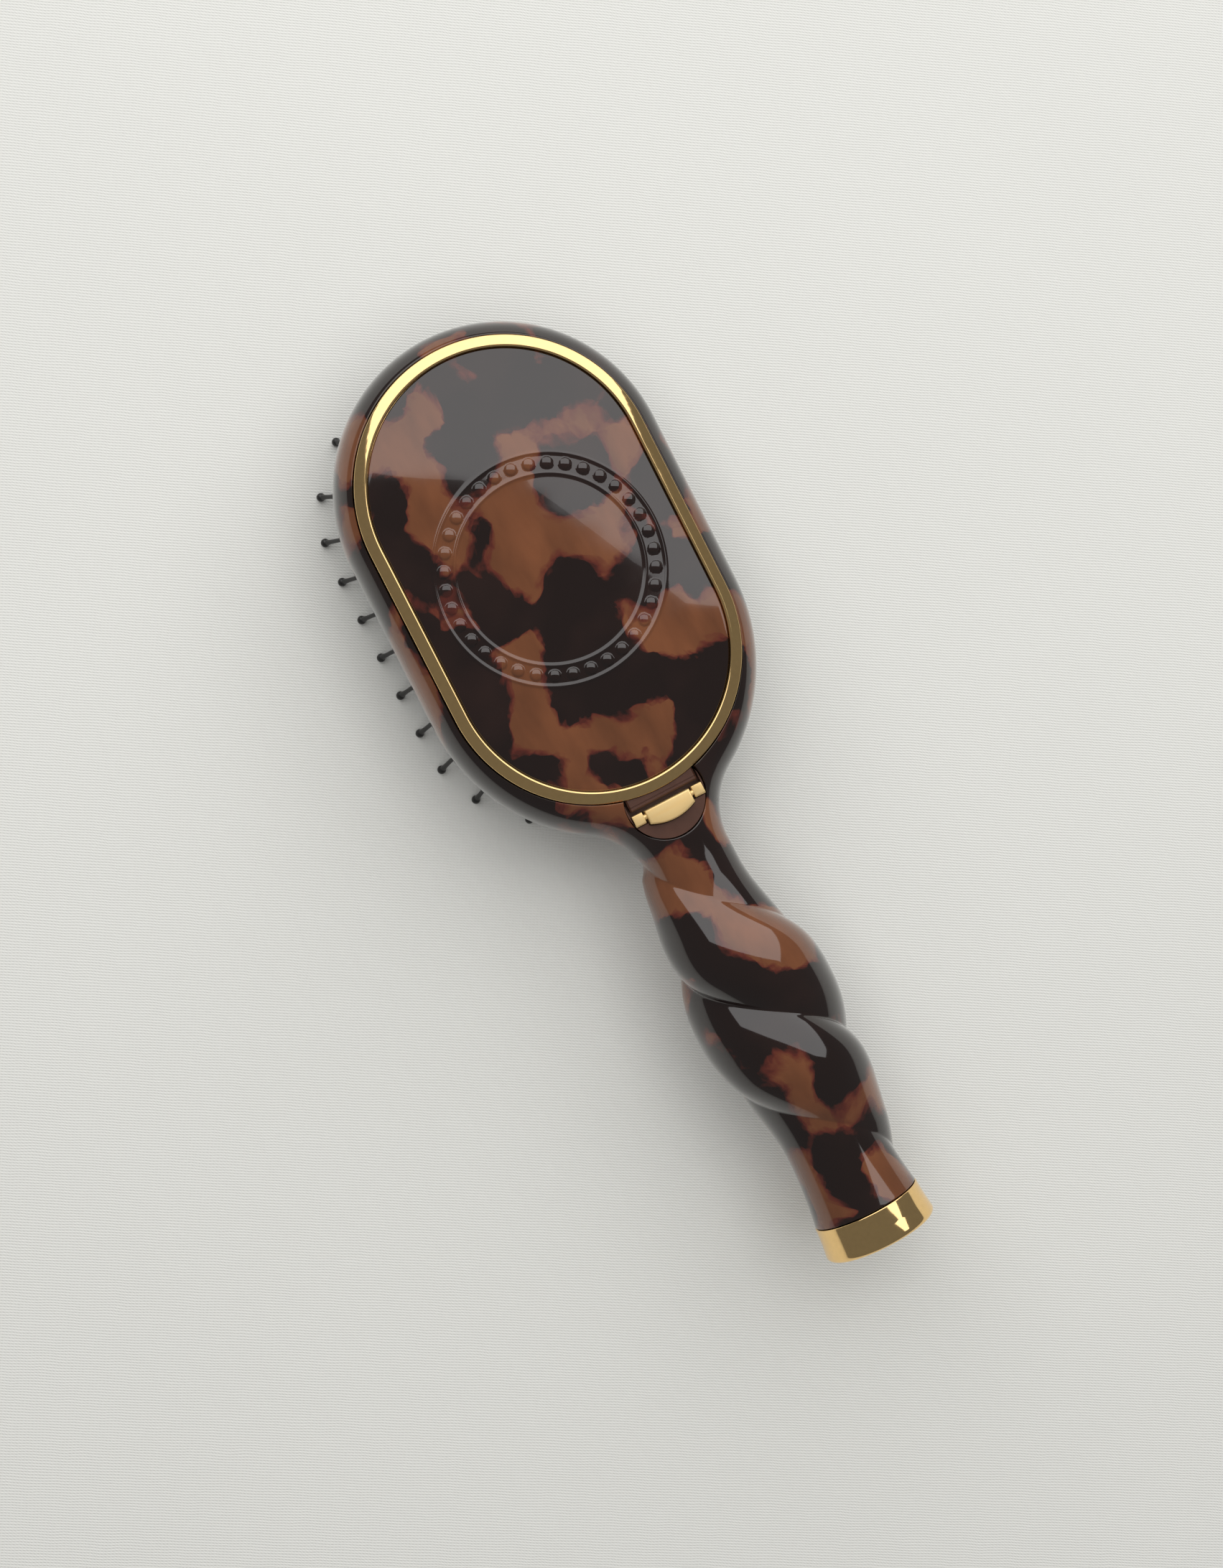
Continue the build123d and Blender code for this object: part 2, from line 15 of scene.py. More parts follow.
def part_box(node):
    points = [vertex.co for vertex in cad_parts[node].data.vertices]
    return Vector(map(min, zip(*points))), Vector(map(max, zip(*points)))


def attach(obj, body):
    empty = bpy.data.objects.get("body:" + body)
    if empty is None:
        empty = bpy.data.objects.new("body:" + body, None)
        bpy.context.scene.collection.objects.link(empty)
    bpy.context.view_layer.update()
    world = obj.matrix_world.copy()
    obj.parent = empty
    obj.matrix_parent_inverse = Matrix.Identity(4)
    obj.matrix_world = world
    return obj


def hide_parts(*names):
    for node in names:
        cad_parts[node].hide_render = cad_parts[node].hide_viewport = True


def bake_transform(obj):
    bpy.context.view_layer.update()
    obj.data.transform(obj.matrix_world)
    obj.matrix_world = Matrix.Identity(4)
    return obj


bl_info = {
    "name": "Vanity Hairbrush",
    "version": (1, 0, 0),
    "blender": (4, 5, 0),
    "location": "View3D > Sidebar > Hairbrush",
    "description": "Builds a tortoise hairbrush with a gold-rimmed mirror lid",
    "category": "Add Mesh",
}

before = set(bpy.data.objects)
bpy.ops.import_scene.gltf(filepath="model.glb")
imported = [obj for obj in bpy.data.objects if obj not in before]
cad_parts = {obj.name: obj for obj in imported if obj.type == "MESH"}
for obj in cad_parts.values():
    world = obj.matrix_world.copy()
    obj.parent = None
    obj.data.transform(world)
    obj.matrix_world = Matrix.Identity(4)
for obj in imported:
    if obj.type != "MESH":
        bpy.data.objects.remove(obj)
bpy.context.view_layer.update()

MM = 0.001
QUARTER = math.pi / 2
FULL = 2 * math.pi
MERGE = 2e-7  # points closer than this are one
PIN_SIDES = 14
COLLAR_SIDES = 16
MIX_LOW, MIX_HIGH, MIX_COLOUR = 6, 7, 2  # a Mix node's colour sockets


# --- places read from the frame ----------------------------------------------------
def node_box(name):
    """Lowest and highest corner of a node as arrays."""
    low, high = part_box(name)
    return np.array(low), np.array(high)


rim_low, rim_high = node_box("lid_rim")
panel_low, panel_high = node_box("lid_panel")
cap_low, cap_high = node_box("end_cap")
body_low, body_high = node_box("body_shell")
block_low, block_high = node_box("hinge_block")
leaf_low, leaf_high = node_box("hinge_leaf")
cushion_low, cushion_high = node_box("cushion")
carrier_top = node_box("cushion_frame")[1][2]
pin_low, pin_high = node_box("hinge_pin")

RIM_RADIUS = (rim_high[0] - rim_low[0]) / 2
HEAD_Y = (rim_low[1] + rim_high[1]) / 2
HALF_STRAIGHT = (rim_high[1] - rim_low[1]) / 2 - RIM_RADIUS
UPPER_Y = HEAD_Y + HALF_STRAIGHT
LOWER_Y = HEAD_Y - HALF_STRAIGHT
HEAD_HALF = body_high[0]
AXIS_Z = (cap_low[2] + cap_high[2]) / 2
TAIL_END_Y = body_low[1]
PANEL_RADIUS = (panel_high[0] - panel_low[0]) / 2
CUSHION_RADIUS = (cushion_high[0] - cushion_low[0]) / 2


# --- properties ----------------------------------------------------------------------
def length(name, description, default):
    """Length property whose default is given in millimetres."""
    return FloatProperty(
        name=name, description=description, default=default * MM, unit="LENGTH", precision=5
    )


def number(name, description, default):
    """Plain number property."""
    return FloatProperty(name=name, description=description, default=default)


def angle(name, description, default):
    """Angle property whose default is given in degrees."""
    return FloatProperty(
        name=name, description=description, default=math.radians(default), subtype="ANGLE"
    )


def colour(name, description, default):
    """Linear colour property."""
    return FloatVectorProperty(
        name=name, description=description, default=default, subtype="COLOR", size=3, min=0, max=1
    )


class BodySizes(bpy.types.PropertyGroup):
    half_thickness: length("Half thickness", "Half the head's thickness", 11.0)
    flank_radius: length("Flank radius", "Arc from the side towards the neck", 42.0)
    shoulder_radius: length("Shoulder radius", "Hollow arc into the neck", 16.0)
    neck_radius: length("Neck radius", "Narrowest radius of the neck", 9.6)
    fullness: number("Fullness", "Power of the head's rounded edge", 2.25)
    blend_start_y: length("Blend start", "Where the head starts to turn round", 4.0)
    cut_y: length("Neck seam", "Where the head's net meets the handle's", -12.0)
    thin_start_y: length("Thinning start", "Where the head starts to thin", 2.0)
    thin_end_y: length("Thinning end", "Where the neck is as thin as it is wide", -17.0)
    well_gap: length("Well gap", "Gap between well and rim", 0.2)
    tongue_radius: length("Tongue seat", "Radius of the round seat under the hinge", 9.1)
    tongue_y: length("Tongue place", "Centre of the round seat", -1.2)
    well_floor_z: length("Well floor", "Height of the well's floor", 25.4)
    opening_gap: length("Opening gap", "Gap round the cushion", 0.2)
    edge_soft: length("Edge rounding", "Rounding of the well's edges", 0.22)
    columns: IntProperty(name="Columns", description="Columns round the handle", default=192)
    row_step: length("Row step", "Spacing of the rows along the handle", 0.4)


class HandleSizes(bpy.types.PropertyGroup):
    tail_radius: length("Tail radius", "Narrowest radius behind the twist", 10.7)
    tail_y: length("Tail place", "Where the tail is narrowest", -86.0)
    flare_radius: length("Flare radius", "Radius where the handle meets the cap", 12.15)
    flare_hollow: length("Flare hollow", "Sag of the flare", 0.3)
    pitch: length("Pitch", "Length of one full turn of the twist", 54.0)
    groove_y: length("Groove place", "Where the middle groove crosses the top", -52.6)
    valley_radius: length("Valley radius", "Radius at the bottom of the grooves", 13.4)
    valley_start_y: length("Valley start", "Where the core starts to swell", -21.0)
    valley_full_y: length("Valley full", "Where the core is full", -43.0)
    valley_fade_y: length("Valley fade", "Where the core starts to shrink", -64.5)
    valley_end_y: length("Valley end", "Where the core is plain again", -85.0)
    swell: length("Swell", "Height of the bands over the grooves", 3.3)
    band_power: number("Band power", "Power of the bands' rounding", 2.4)
    groove_soft: number("Groove rounding", "Softness of the grooves' bottoms", 0.035)
    first_start: angle("First start", "Turn at which the first band has died out", 212)
    first_end: angle("First end", "Turn at which the first band has died out", -165)
    second_start: angle("Second start", "Turn at which the second band has died out", 215)
    second_end: angle("Second end", "Turn at which the second band has died out", -105)
    twist_y: length("Twist start", "Where the bands may begin", -12.2)
    twist_ease: length("Twist ease", "Length over which they may rise", 4.0)
    bore_radius: length("Bore radius", "Radius of the bore", 7.0)
    bore_end_y: length("Bore end", "Where the bore ends", -17.0)


class LidSizes(bpy.types.PropertyGroup):
    rim_band: length("Rim band", "Width of the rim from above", 2.7)
    rim_wall: length("Rim wall", "Height of the rim's outer wall", 1.95)
    rim_bulge: length("Rim bulge", "Swell of the rim's sloping face", 0.035)
    rim_lip: length("Rim lip", "Width of the rim's flat inner lip", 0.55)
    rim_ledge: length("Rim ledge", "Width of the ledge under the panel", 1.2)
    panel_edge: length("Panel edge", "Thickness of the panel at its edge", 1.5)
    panel_rise: length("Panel rise", "Height of the panel's dome", 2.0)
    lengthwise: number("Lengthwise crown", "Share of the dome that runs along the head", 0.35)
    pearl_ring: length("Pearl ring", "Radius of the ring of pearls", 22.6)
    pearl_radius: length("Pearl radius", "Radius of each pearl", 1.35)
    pearl_height: length("Pearl height", "Height of each pearl", 0.62)
    pearls: IntProperty(name="Pearls", description="Number of pearls", default=36)
    wire_gap: length("Wire gap", "Distance of each fine ring from the pearls' ring", 2.2)
    wire_width: length("Wire width", "Half width of each fine ring", 0.34)
    wire_height: length("Wire height", "Height of each fine ring", 0.3)


class HingeSizes(bpy.types.PropertyGroup):
    end_depth: length("Block ends", "Depth of the block at its ends", 3.1)
    middle_depth: length("Block middle", "Depth of the block at its middle", 4.4)
    bevel: length("Block bevel", "Bevel round the block's top", 0.42)
    ear_width: length("Ear width", "Width of each ear", 2.4)
    ear_radius: length("Ear radius", "Radius of the ear round the pin", 1.3)
    ear_rise: length("Ear rise", "Height of the ear's arm above the pin", 0.45)
    ear_soft: length("Ear rounding", "Rounding of the ear's edges", 0.14)
    leaf_plate: length("Leaf plate", "Thickness of the leaf under the rim", 0.8)
    band_rise: length("Band rise", "Height of the band above the leaf", 1.5)
    band_width: length("Band width", "Width of the band", 16.0)
    band_bevel: length("Band bevel", "Bevel along the band's front", 0.3)
    groove_depth: length("Groove depth", "Depth of the line along the band", 0.16)


class UnderSizes(bpy.types.PropertyGroup):
    rise: length("Cushion rise", "Height of the cushion's dome", 3.0)
    skin: length("Cushion skin", "Thickness of the rubber", 1.6)
    wall: length("Cushion wall", "Thickness of the cushion's wall", 1.4)
    wall_height: length("Wall height", "Height of the cushion's wall above its edge", 5.1)
    collar_radius: length("Collar radius", "Radius of the swelling round each bristle", 1.35)
    collar_height: length("Collar height", "Height of that swelling", 0.55)
    field_inset: length("Field inset", "Distance of the outer roots from the edge", 2.3)
    rows: IntProperty(name="Rows", description="Rows of bristles", default=11)
    row_pitch: length("Row pitch", "Distance between rows", 8.2)
    pin_pitch: length("Pin pitch", "Distance between bristles of a row", 7.6)
    splay_x: number("Splay across", "Spread of the tips across the head", 1.33)
    splay_y: number("Splay along", "Spread of the tips along the head", 1.15)
    ball: length("Ball radius", "Radius of the ball tips", 1.0)
    shaft: length("Shaft radius", "Radius of the shaft", 0.52)
    root: length("Root radius", "Radius of the shaft where it leaves the rubber", 0.62)
    foot_radius: length("Foot radius", "Radius of the foot above the rubber", 1.1)
    foot_height: length("Foot height", "Thickness of the foot", 0.8)
    foot_lift: length("Foot lift", "Gap between rubber and foot", 0.7)


class Finishes(bpy.types.PropertyGroup):
    tortoise_dark: colour("Tortoise dark", "Ground of the tortoise", (0.0095, 0.0038, 0.0028))
    tortoise_red: colour("Tortoise red", "Fringe of the patches", (0.1, 0.018, 0.011))
    tortoise_amber: colour("Tortoise amber", "Patches of the tortoise", (0.185, 0.064, 0.025))
    gold: colour("Gold", "Plated rim, cap and hinge", (0.98, 0.67, 0.3))
    brown: colour("Brown plastic", "Tray and hinge band", (0.062, 0.025, 0.015))
    black: colour("Black plastic", "Plug and carrier", (0.012, 0.011, 0.011))
    nylon: colour("Nylon", "Bristles", (0.016, 0.015, 0.014))
    rubber: colour("Rubber", "Cushion", (0.02, 0.017, 0.016))
    steel: colour("Steel", "Screws, latch plate and magnet", (0.62, 0.61, 0.59))
    silver: colour("Mirror", "Mirror glass", (0.9, 0.92, 0.92))
    tape: colour("Tape", "Tape behind the glass", (0.55, 0.52, 0.46))
    cloth: colour("Cloth", "Woven cloth under the brush", (0.755, 0.752, 0.713))


class StageSetup(bpy.types.PropertyGroup):
    lens: FloatProperty(name="Lens", description="Focal length", default=70.0)
    camera_x: length("Camera X", "Place of the camera across", -83.9)
    camera_y: length("Camera Y", "Place of the camera along", 44.5)
    camera_z: length("Camera Z", "Height of the camera", 680.4)
    aim_x: length("Aim X", "Point that the camera looks at", -9.09)
    aim_y: length("Aim Y", "Point that the camera looks at", 6.59)
    aim_z: length("Aim Z", "Point that the camera looks at", 38.0)
    roll: FloatProperty(
        name="Roll", description="Turn of the brush in view", default=math.radians(27.017),
        subtype="ANGLE",
    )
    softbox: number("Softbox", "Brightness of the large softbox", 1.55)
    fill: number("Fill", "Brightness of the fill light", 1.45)
    room: number("Room", "Brightness of the room", 0.165)


# --- grids ----------------------------------------------------------------------------
def smooth(share):
    """Smooth step: 3 s squared - 2 s cubed, with s held between 0 and 1."""
    share = np.clip(share, 0, 1)
    return share * share * (3 - 2 * share)


def arc(centre, radius, start, end, steps):
    """Plan points centre + radius (cos a, sin a), with a even from start to end."""
    angle = np.linspace(start, end, steps + 1)
    x = centre[0] + radius * np.cos(angle)
    return np.stack([x, centre[1] + radius * np.sin(angle)], axis=-1)


def line(start, end, steps):
    """Plan points evenly from start to end."""
    return np.linspace(start, end, steps + 1)


def chain(*runs):
    """Runs of points end to end, with each shared point kept once."""
    return np.concatenate([run[:-1] for run in runs[:-1]] + [runs[-1]])


def both_halves(right):
    """Closed loop from its right half, which starts and ends on x = 0."""
    left = right[-2:0:-1] * [-1, 1]
    return np.concatenate([right, left])


def rounded(corners, radii, steps=4):
    """Closed outline whose corners are tangent arcs.

    Each arc is the corner's two tangent points joined by a circle about the centre that
    lies on the bisector, a radius over the sine of the half angle away.
    """
    corners = np.array(corners, float)
    outline = []
    for index, radius in enumerate(radii):
        corner = corners[index]
        before = corners[index - 1] - corner
        after = corners[(index + 1) % len(corners)] - corner
        before = before / np.linalg.norm(before)
        after = after / np.linalg.norm(after)
        half = math.acos(np.clip(before @ after, -1, 1)) / 2
        centre = corner + (before + after) / np.linalg.norm(before + after) * radius / math.sin(half)
        first = corner + before * radius / math.tan(half) - centre
        last = corner + after * radius / math.tan(half) - centre
        share = np.linspace(0, 1, steps + 1)[:, None]
        swing = math.pi - 2 * half
        ring = (first * np.sin((1 - share) * swing) + last * np.sin(share * swing)) / math.sin(swing)
        outline.append(centre + ring)
    return np.concatenate(outline)


class Net:
    """Grids of points gathered into one closed mesh."""

    def __init__(self):
        self.points = []
        self.quads = []
        self.count = 0

    def add(self, points, wrap=True):
        """Adds a rows x columns grid as quads; wrap joins the last column to the first."""
        rows, columns = points.shape[:2]
        index = np.arange(rows * columns).reshape(rows, columns) + self.count
        if wrap:
            index = np.hstack([index, index[:, :1]])
        corners = [index[:-1, :-1], index[:-1, 1:], index[1:, 1:], index[1:, :-1]]
        quads = np.stack(corners, axis=-1).reshape(-1, 4)
        self.points.append(points.reshape(-1, 3))
        self.quads.append(quads)
        self.count += rows * columns

    def piece(self, name, material, body, slot, sharp):
        """Merges shared points, turns faces outwards and makes the object."""
        mesh = bpy.data.meshes.new(name)
        points = np.concatenate(self.points).tolist()
        mesh.from_pydata(points, [], np.concatenate(self.quads).tolist())
        work = bmesh.new()
        work.from_mesh(mesh)
        bmesh.ops.remove_doubles(work, verts=work.verts, dist=MERGE)
        bmesh.ops.recalc_face_normals(work, faces=work.faces)
        work.to_mesh(mesh)
        work.free()
        mesh.polygons.foreach_set("use_smooth", np.ones(len(mesh.polygons), bool))
        mesh.set_sharp_from_angle(angle=math.radians(sharp))
        mesh.materials.append(material)
        piece = bpy.data.objects.new(name, mesh)
        bpy.context.scene.collection.objects.link(piece)
        if body:
            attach(piece, body)
        return piece


def level(plan, z):
    """Plan points lifted to a height."""
    return np.concatenate([plan, np.broadcast_to(z, plan.shape[:-1])[..., None]], axis=-1)


def stadium_spines(arc_steps, side_steps):
    """Spine points and outward directions round the head's stadium.

    A stadium of any radius is spine + radius * direction.
    """
    crown = np.linspace(0, math.pi, arc_steps + 1)
    foot = crown + math.pi
    sides = np.linspace(UPPER_Y, LOWER_Y, side_steps + 1)[1:-1]
    angle = np.concatenate([crown, np.full(len(sides), math.pi), foot, np.full(len(sides), 0.0)])
    ends = [np.full(arc_steps + 1, UPPER_Y), sides, np.full(arc_steps + 1, LOWER_Y), sides[::-1]]
    spine = np.stack([np.zeros(len(angle)), np.concatenate(ends)], axis=-1)
    return spine, np.stack([np.cos(angle), np.sin(angle)], axis=-1)


def stadium_sweep(profile, arc_steps=120, side_steps=24):
    """Profile of (radius, height) points carried round the stadium: rows follow the profile."""
    spine, direction = stadium_spines(arc_steps, side_steps)
    plan = spine[None] + profile[:, 0, None, None] * direction[None]
    return level(plan, profile[:, 1, None])


def stadium_reach(angle, radius):
    """Distance from the head's centre to a stadium's outline along an angle.

    It is radius over cosine where the ray meets a straight side, and otherwise the far
    crossing with the end circle: h s + root(r squared - h squared c squared).
    """
    cosine = np.abs(np.cos(angle))
    sine = np.abs(np.sin(angle))
    side = radius / np.maximum(cosine, 1e-9)
    end = HALF_STRAIGHT * sine + np.sqrt(np.maximum(radius**2 - (HALF_STRAIGHT * cosine) ** 2, 0))
    return np.where(side * sine <= HALF_STRAIGHT, side, end)


def turned(profile, columns):
    """Profile of (radius, y) points turned about the handle's axis."""
    angle = np.linspace(0, FULL, columns, endpoint=False)
    radius = profile[:, 0, None]
    x = radius * np.cos(angle)
    z = AXIS_Z + radius * np.sin(angle)
    y = np.broadcast_to(profile[:, 1, None], x.shape)
    return np.stack([x, y, z], axis=-1)


def closed_ends(grid):
    """Grid with its first and last rows drawn in to their middles."""
    first = np.broadcast_to(grid[0].mean(0), grid[:1].shape)
    last = np.broadcast_to(grid[-1].mean(0), grid[:1].shape)
    return np.concatenate([first, grid, last])


# --- body ---------------------------------------------------------------------------------
class BodyForm:
    """The moulded body's surfaces: a full-edged slab that turns into a round handle."""

    def __init__(self, size, handle):
        self.size = size
        self.handle = handle
        self.flank = (HEAD_HALF - size.flank_radius, LOWER_Y)
        shoulder_x = size.neck_radius + size.shoulder_radius
        reach = size.flank_radius + size.shoulder_radius
        drop = math.sqrt(reach**2 - (shoulder_x - self.flank[0]) ** 2)
        self.shoulder = (shoulder_x, LOWER_Y - drop)
        self.toward = math.atan2(-drop, shoulder_x - self.flank[0])
        self.tangent_y = LOWER_Y + size.flank_radius * math.sin(self.toward)

    def core_radius(self, y):
        """Radius of the plain handle: straight taper to the tail, then a hollow flare."""
        size, handle = self.size, self.handle
        taper = np.clip((self.shoulder[1] - y) / (self.shoulder[1] - handle.tail_y), 0, 1)
        flare = np.clip((handle.tail_y - y) / (handle.tail_y - TAIL_END_Y), 0, 1)
        straight = size.neck_radius + (handle.tail_radius - size.neck_radius) * taper
        swell = (handle.flare_radius - handle.tail_radius) * flare
        return straight + swell - 4 * handle.flare_hollow * flare * (1 - flare)

    def half_width(self, y):
        """Half width of the plan below the head: flank arc, shoulder arc, then the core."""
        size = self.size
        flank = size.flank_radius**2 - (y - LOWER_Y) ** 2
        flank = self.flank[0] + np.sqrt(np.maximum(flank, 0))
        shoulder = size.shoulder_radius**2 - (y - self.shoulder[1]) ** 2
        shoulder = self.shoulder[0] - np.sqrt(np.maximum(shoulder, 0))
        below = np.where(y < self.shoulder[1], self.core_radius(y), shoulder)
        return np.where(y > self.tangent_y, flank, below)

    def half_height(self, y):
        """Half thickness: the head's, easing into the core's radius along the neck."""
        size = self.size
        ease = smooth((size.thin_start_y - y) / (size.thin_start_y - size.thin_end_y))
        return self.core_radius(y) + (size.half_thickness - size.neck_radius) * (1 - ease)

    def turn(self, y):
        """0 where the section is the head's slab, 1 where it is round."""
        size = self.size
        return smooth((size.blend_start_y - y) / (size.blend_start_y - size.cut_y))

    def power(self, y):
        """Power of the section's curve, from the head's fullness to 2 at the neck."""
        return self.size.fullness + (2 - self.size.fullness) * self.turn(y)

    def from_outline(self, x, y):
        """Distance inwards from the head's outline, by the arc or side that is nearest."""
        size = self.size
        x = np.abs(x)
        crown = HEAD_HALF - np.hypot(x, y - UPPER_Y)
        side = HEAD_HALF - x
        flank = size.flank_radius - np.hypot(x - self.flank[0], y - self.flank[1])
        shoulder = np.hypot(x - self.shoulder[0], y - self.shoulder[1]) - size.shoulder_radius
        past = np.arctan2(y - self.flank[1], x - self.flank[0]) < self.toward
        low = np.where(past, shoulder, flank)
        return np.where(y > UPPER_Y, crown, np.where(y > LOWER_Y, side, low))

    def height(self, x, y):
        """Height above the middle plane: t (1 - Q) to the power 1/n.

        Q mixes the slab's share, (depth past the flat top over t) to the n, with the
        round section's share, (x over the half width) to the n.
        """
        depth = self.size.half_thickness
        power = self.power(y)
        slab = np.clip((depth - self.from_outline(x, y)) / depth, 0, 1) ** power
        tube = np.clip(np.abs(x) / self.half_width(y), 0, None) ** power
        turn = self.turn(y)
        share = np.clip((1 - turn) * slab + turn * np.where(turn > 0, tube, 0), 0, 1)
        return self.half_height(y) * (1 - share) ** (1 / power)

    def band(self, turn, y, start, end, index):
        """Height of one twisted band, from 0 on its grooves to 1 along its middle.

        The place across a band is d = (y - groove) / half a pitch - (turn - 90 degrees) /
        180 degrees - index, and its height is 1 - |2 d - 1| to a power.  Past the sides of
        the handle it dies out by a smooth step of the turn.
        """
        handle = self.handle
        across = 2 * (y - handle.groove_y) / handle.pitch - turn / math.pi + 0.5 - index
        height = 1 - np.minimum(np.abs(2 * across - 1), 1) ** handle.band_power
        fade = smooth((start - turn) / (start - math.pi)) * smooth((turn - end) / -end)
        return height * fade

    def handle_reach(self, angle, y):
        """Distance from the axis to the handle's surface: an elliptical core that swells
        along the twist, plus the higher of the two bands."""
        handle = self.handle
        turn = np.mod(angle, FULL)
        plain = 1 / np.hypot(np.cos(turn) / self.half_width(y), np.sin(turn) / self.half_height(y))
        rise = (handle.valley_start_y - y) / (handle.valley_start_y - handle.valley_full_y)
        fall = (y - handle.valley_end_y) / (handle.valley_fade_y - handle.valley_end_y)
        core = plain + (handle.valley_radius - plain) * smooth(rise) * smooth(fall)
        bands = 0
        for index, start, end in (
            (0, handle.first_start, handle.first_end), (-1, handle.second_start, handle.second_end),
        ):
            for lap in (-FULL, 0, FULL):
                bands = np.maximum(bands, self.band(turn + lap, y, start, end, index))
        soft = handle.groove_soft
        bands = np.hypot(bands, soft) - soft
        return core + handle.swell * bands * smooth((handle.twist_y - y) / handle.twist_ease)


def body_net(size, handle):
    """Closed net of the body: two head patches, the handle, its end and its bore."""
    form = BodyForm(size, handle)
    crown_n, side_n, flank_n, shoulder_n = 56, 26, 36, 20
    cut_n = size.columns // 4
    cut_y = size.cut_y
    rise = cut_y - form.shoulder[1]
    cut_angle = math.pi - math.asin(rise / size.shoulder_radius)
    quarter = np.linspace(0, QUARTER, cut_n + 1)
    cut_reach = form.handle_reach(quarter, np.full(cut_n + 1, cut_y))
    outer = chain(
        arc((0, UPPER_Y), HEAD_HALF, QUARTER, 0, crown_n),
        line((HEAD_HALF, UPPER_Y), (HEAD_HALF, LOWER_Y), side_n),
        arc(form.flank, size.flank_radius, 0, form.toward, flank_n),
        arc(form.shoulder, size.shoulder_radius, form.toward + math.pi, cut_angle, shoulder_n),
        np.stack([cut_reach * np.cos(quarter), np.full(cut_n + 1, cut_y)], axis=-1),
    )
    well = RIM_RADIUS + size.well_gap
    gap = LOWER_Y - size.tongue_y
    along = (gap**2 + well**2 - size.tongue_radius**2) / (2 * gap)
    corner_x = math.sqrt(well**2 - along**2)
    corner = math.atan2(gap - along, corner_x)
    seat = (0, size.tongue_y)
    middle = math.radians(-25)  # where the seat's points change from flank to neck spacing
    inner_top = chain(
        arc((0, UPPER_Y), well, QUARTER, 0, crown_n),
        line((well, UPPER_Y), (well, LOWER_Y), side_n),
        arc((0, LOWER_Y), well, 0, -math.atan2(along, corner_x), flank_n),
        arc(seat, size.tongue_radius, corner, middle, shoulder_n),
        arc(seat, size.tongue_radius, middle, -QUARTER, cut_n),
    )
    opening = CUSHION_RADIUS + size.opening_gap
    foot = (0, LOWER_Y)
    first_split, second_split = math.radians(-57), math.radians(-75)
    inner_under = chain(
        arc((0, UPPER_Y), opening, QUARTER, 0, crown_n),
        line((opening, UPPER_Y), (opening, LOWER_Y), side_n),
        arc(foot, opening, 0, first_split, flank_n),
        arc(foot, opening, first_split, second_split, shoulder_n),
        arc(foot, opening, second_split, -QUARTER, cut_n),
    )
    even = np.zeros(len(outer))
    even_angle = math.radians(60)
    even[-cut_n - 1:] = smooth(quarter / even_angle)
    outer, even = both_halves(outer), np.concatenate([even, even[-2:0:-1]])
    net = Net()
    for inner, side, floor in ((inner_top, 1, size.well_floor_z), (inner_under, -1, carrier_top)):
        net.add(head_patch(form, both_halves(inner), outer, even, side, floor))
    net.add(handle_rows(form, size))
    return net


def head_patch(form, inner, outer, even, side, floor):
    """Rows from a recess's floor, up its wall, over its soft edge and out to the outline.

    Each row lies at inner + (outer - inner) * f, where f = sin(v pi/2) crowds the rows
    towards the outline, and evens out where the patch meets the handle.
    """
    soft = form.size.edge_soft
    ray = outer - inner
    ray = ray / np.linalg.norm(ray, axis=-1, keepdims=True)
    start = inner + ray * soft
    rim = form.height(start[:, 0], start[:, 1])
    rows = [level(np.broadcast_to(inner.mean(0), inner.shape), floor), level(inner, floor)]
    edge_rows, skin_rows = 4, 28
    for turn in np.linspace(0, QUARTER, edge_rows + 1)[:-1]:
        plan = inner + ray * soft * (1 - math.cos(turn))
        rows.append(level(plan, AXIS_Z + side * (rim - soft * (1 - math.sin(turn)))))
    for share in np.linspace(0, 1, skin_rows):
        spread = math.sin(share * QUARTER) * (1 - even) + share * even
        plan = start + (outer - start) * spread[:, None]
        rows.append(level(plan, AXIS_Z + side * form.height(plan[:, 0], plan[:, 1])))
    return np.stack(rows)


def handle_rows(form, size):
    """Rows along the handle, turning with the twist, then its end face and its bore."""
    handle = form.handle
    soft = size.edge_soft
    last = TAIL_END_Y + soft
    y = np.linspace(size.cut_y, last, round((size.cut_y - last) / size.row_step) + 1)[:, None]
    angle = np.linspace(0, FULL, size.columns, endpoint=False)
    angle = angle + (y - size.cut_y) * FULL / handle.pitch
    reach = form.handle_reach(angle, y)
    rows = [np.stack([reach * np.cos(angle), y + 0 * angle, AXIS_Z + reach * np.sin(angle)], axis=-1)]
    end_angle = angle[-1]
    turns = np.linspace(0, QUARTER, 4)[1:]
    closing = [
        (handle.flare_radius - soft * (1 - math.cos(a)), last - soft * math.sin(a)) for a in turns
    ]
    closing.append((handle.bore_radius, TAIL_END_Y))
    closing.append((handle.bore_radius, handle.bore_end_y))
    closing.append((0.0, handle.bore_end_y))
    for radius, place in closing:
        x, z = radius * np.cos(end_angle), AXIS_Z + radius * np.sin(end_angle)
        rows.append(np.stack([x, np.full_like(x, place), z], axis=-1)[None])
    return np.concatenate(rows)


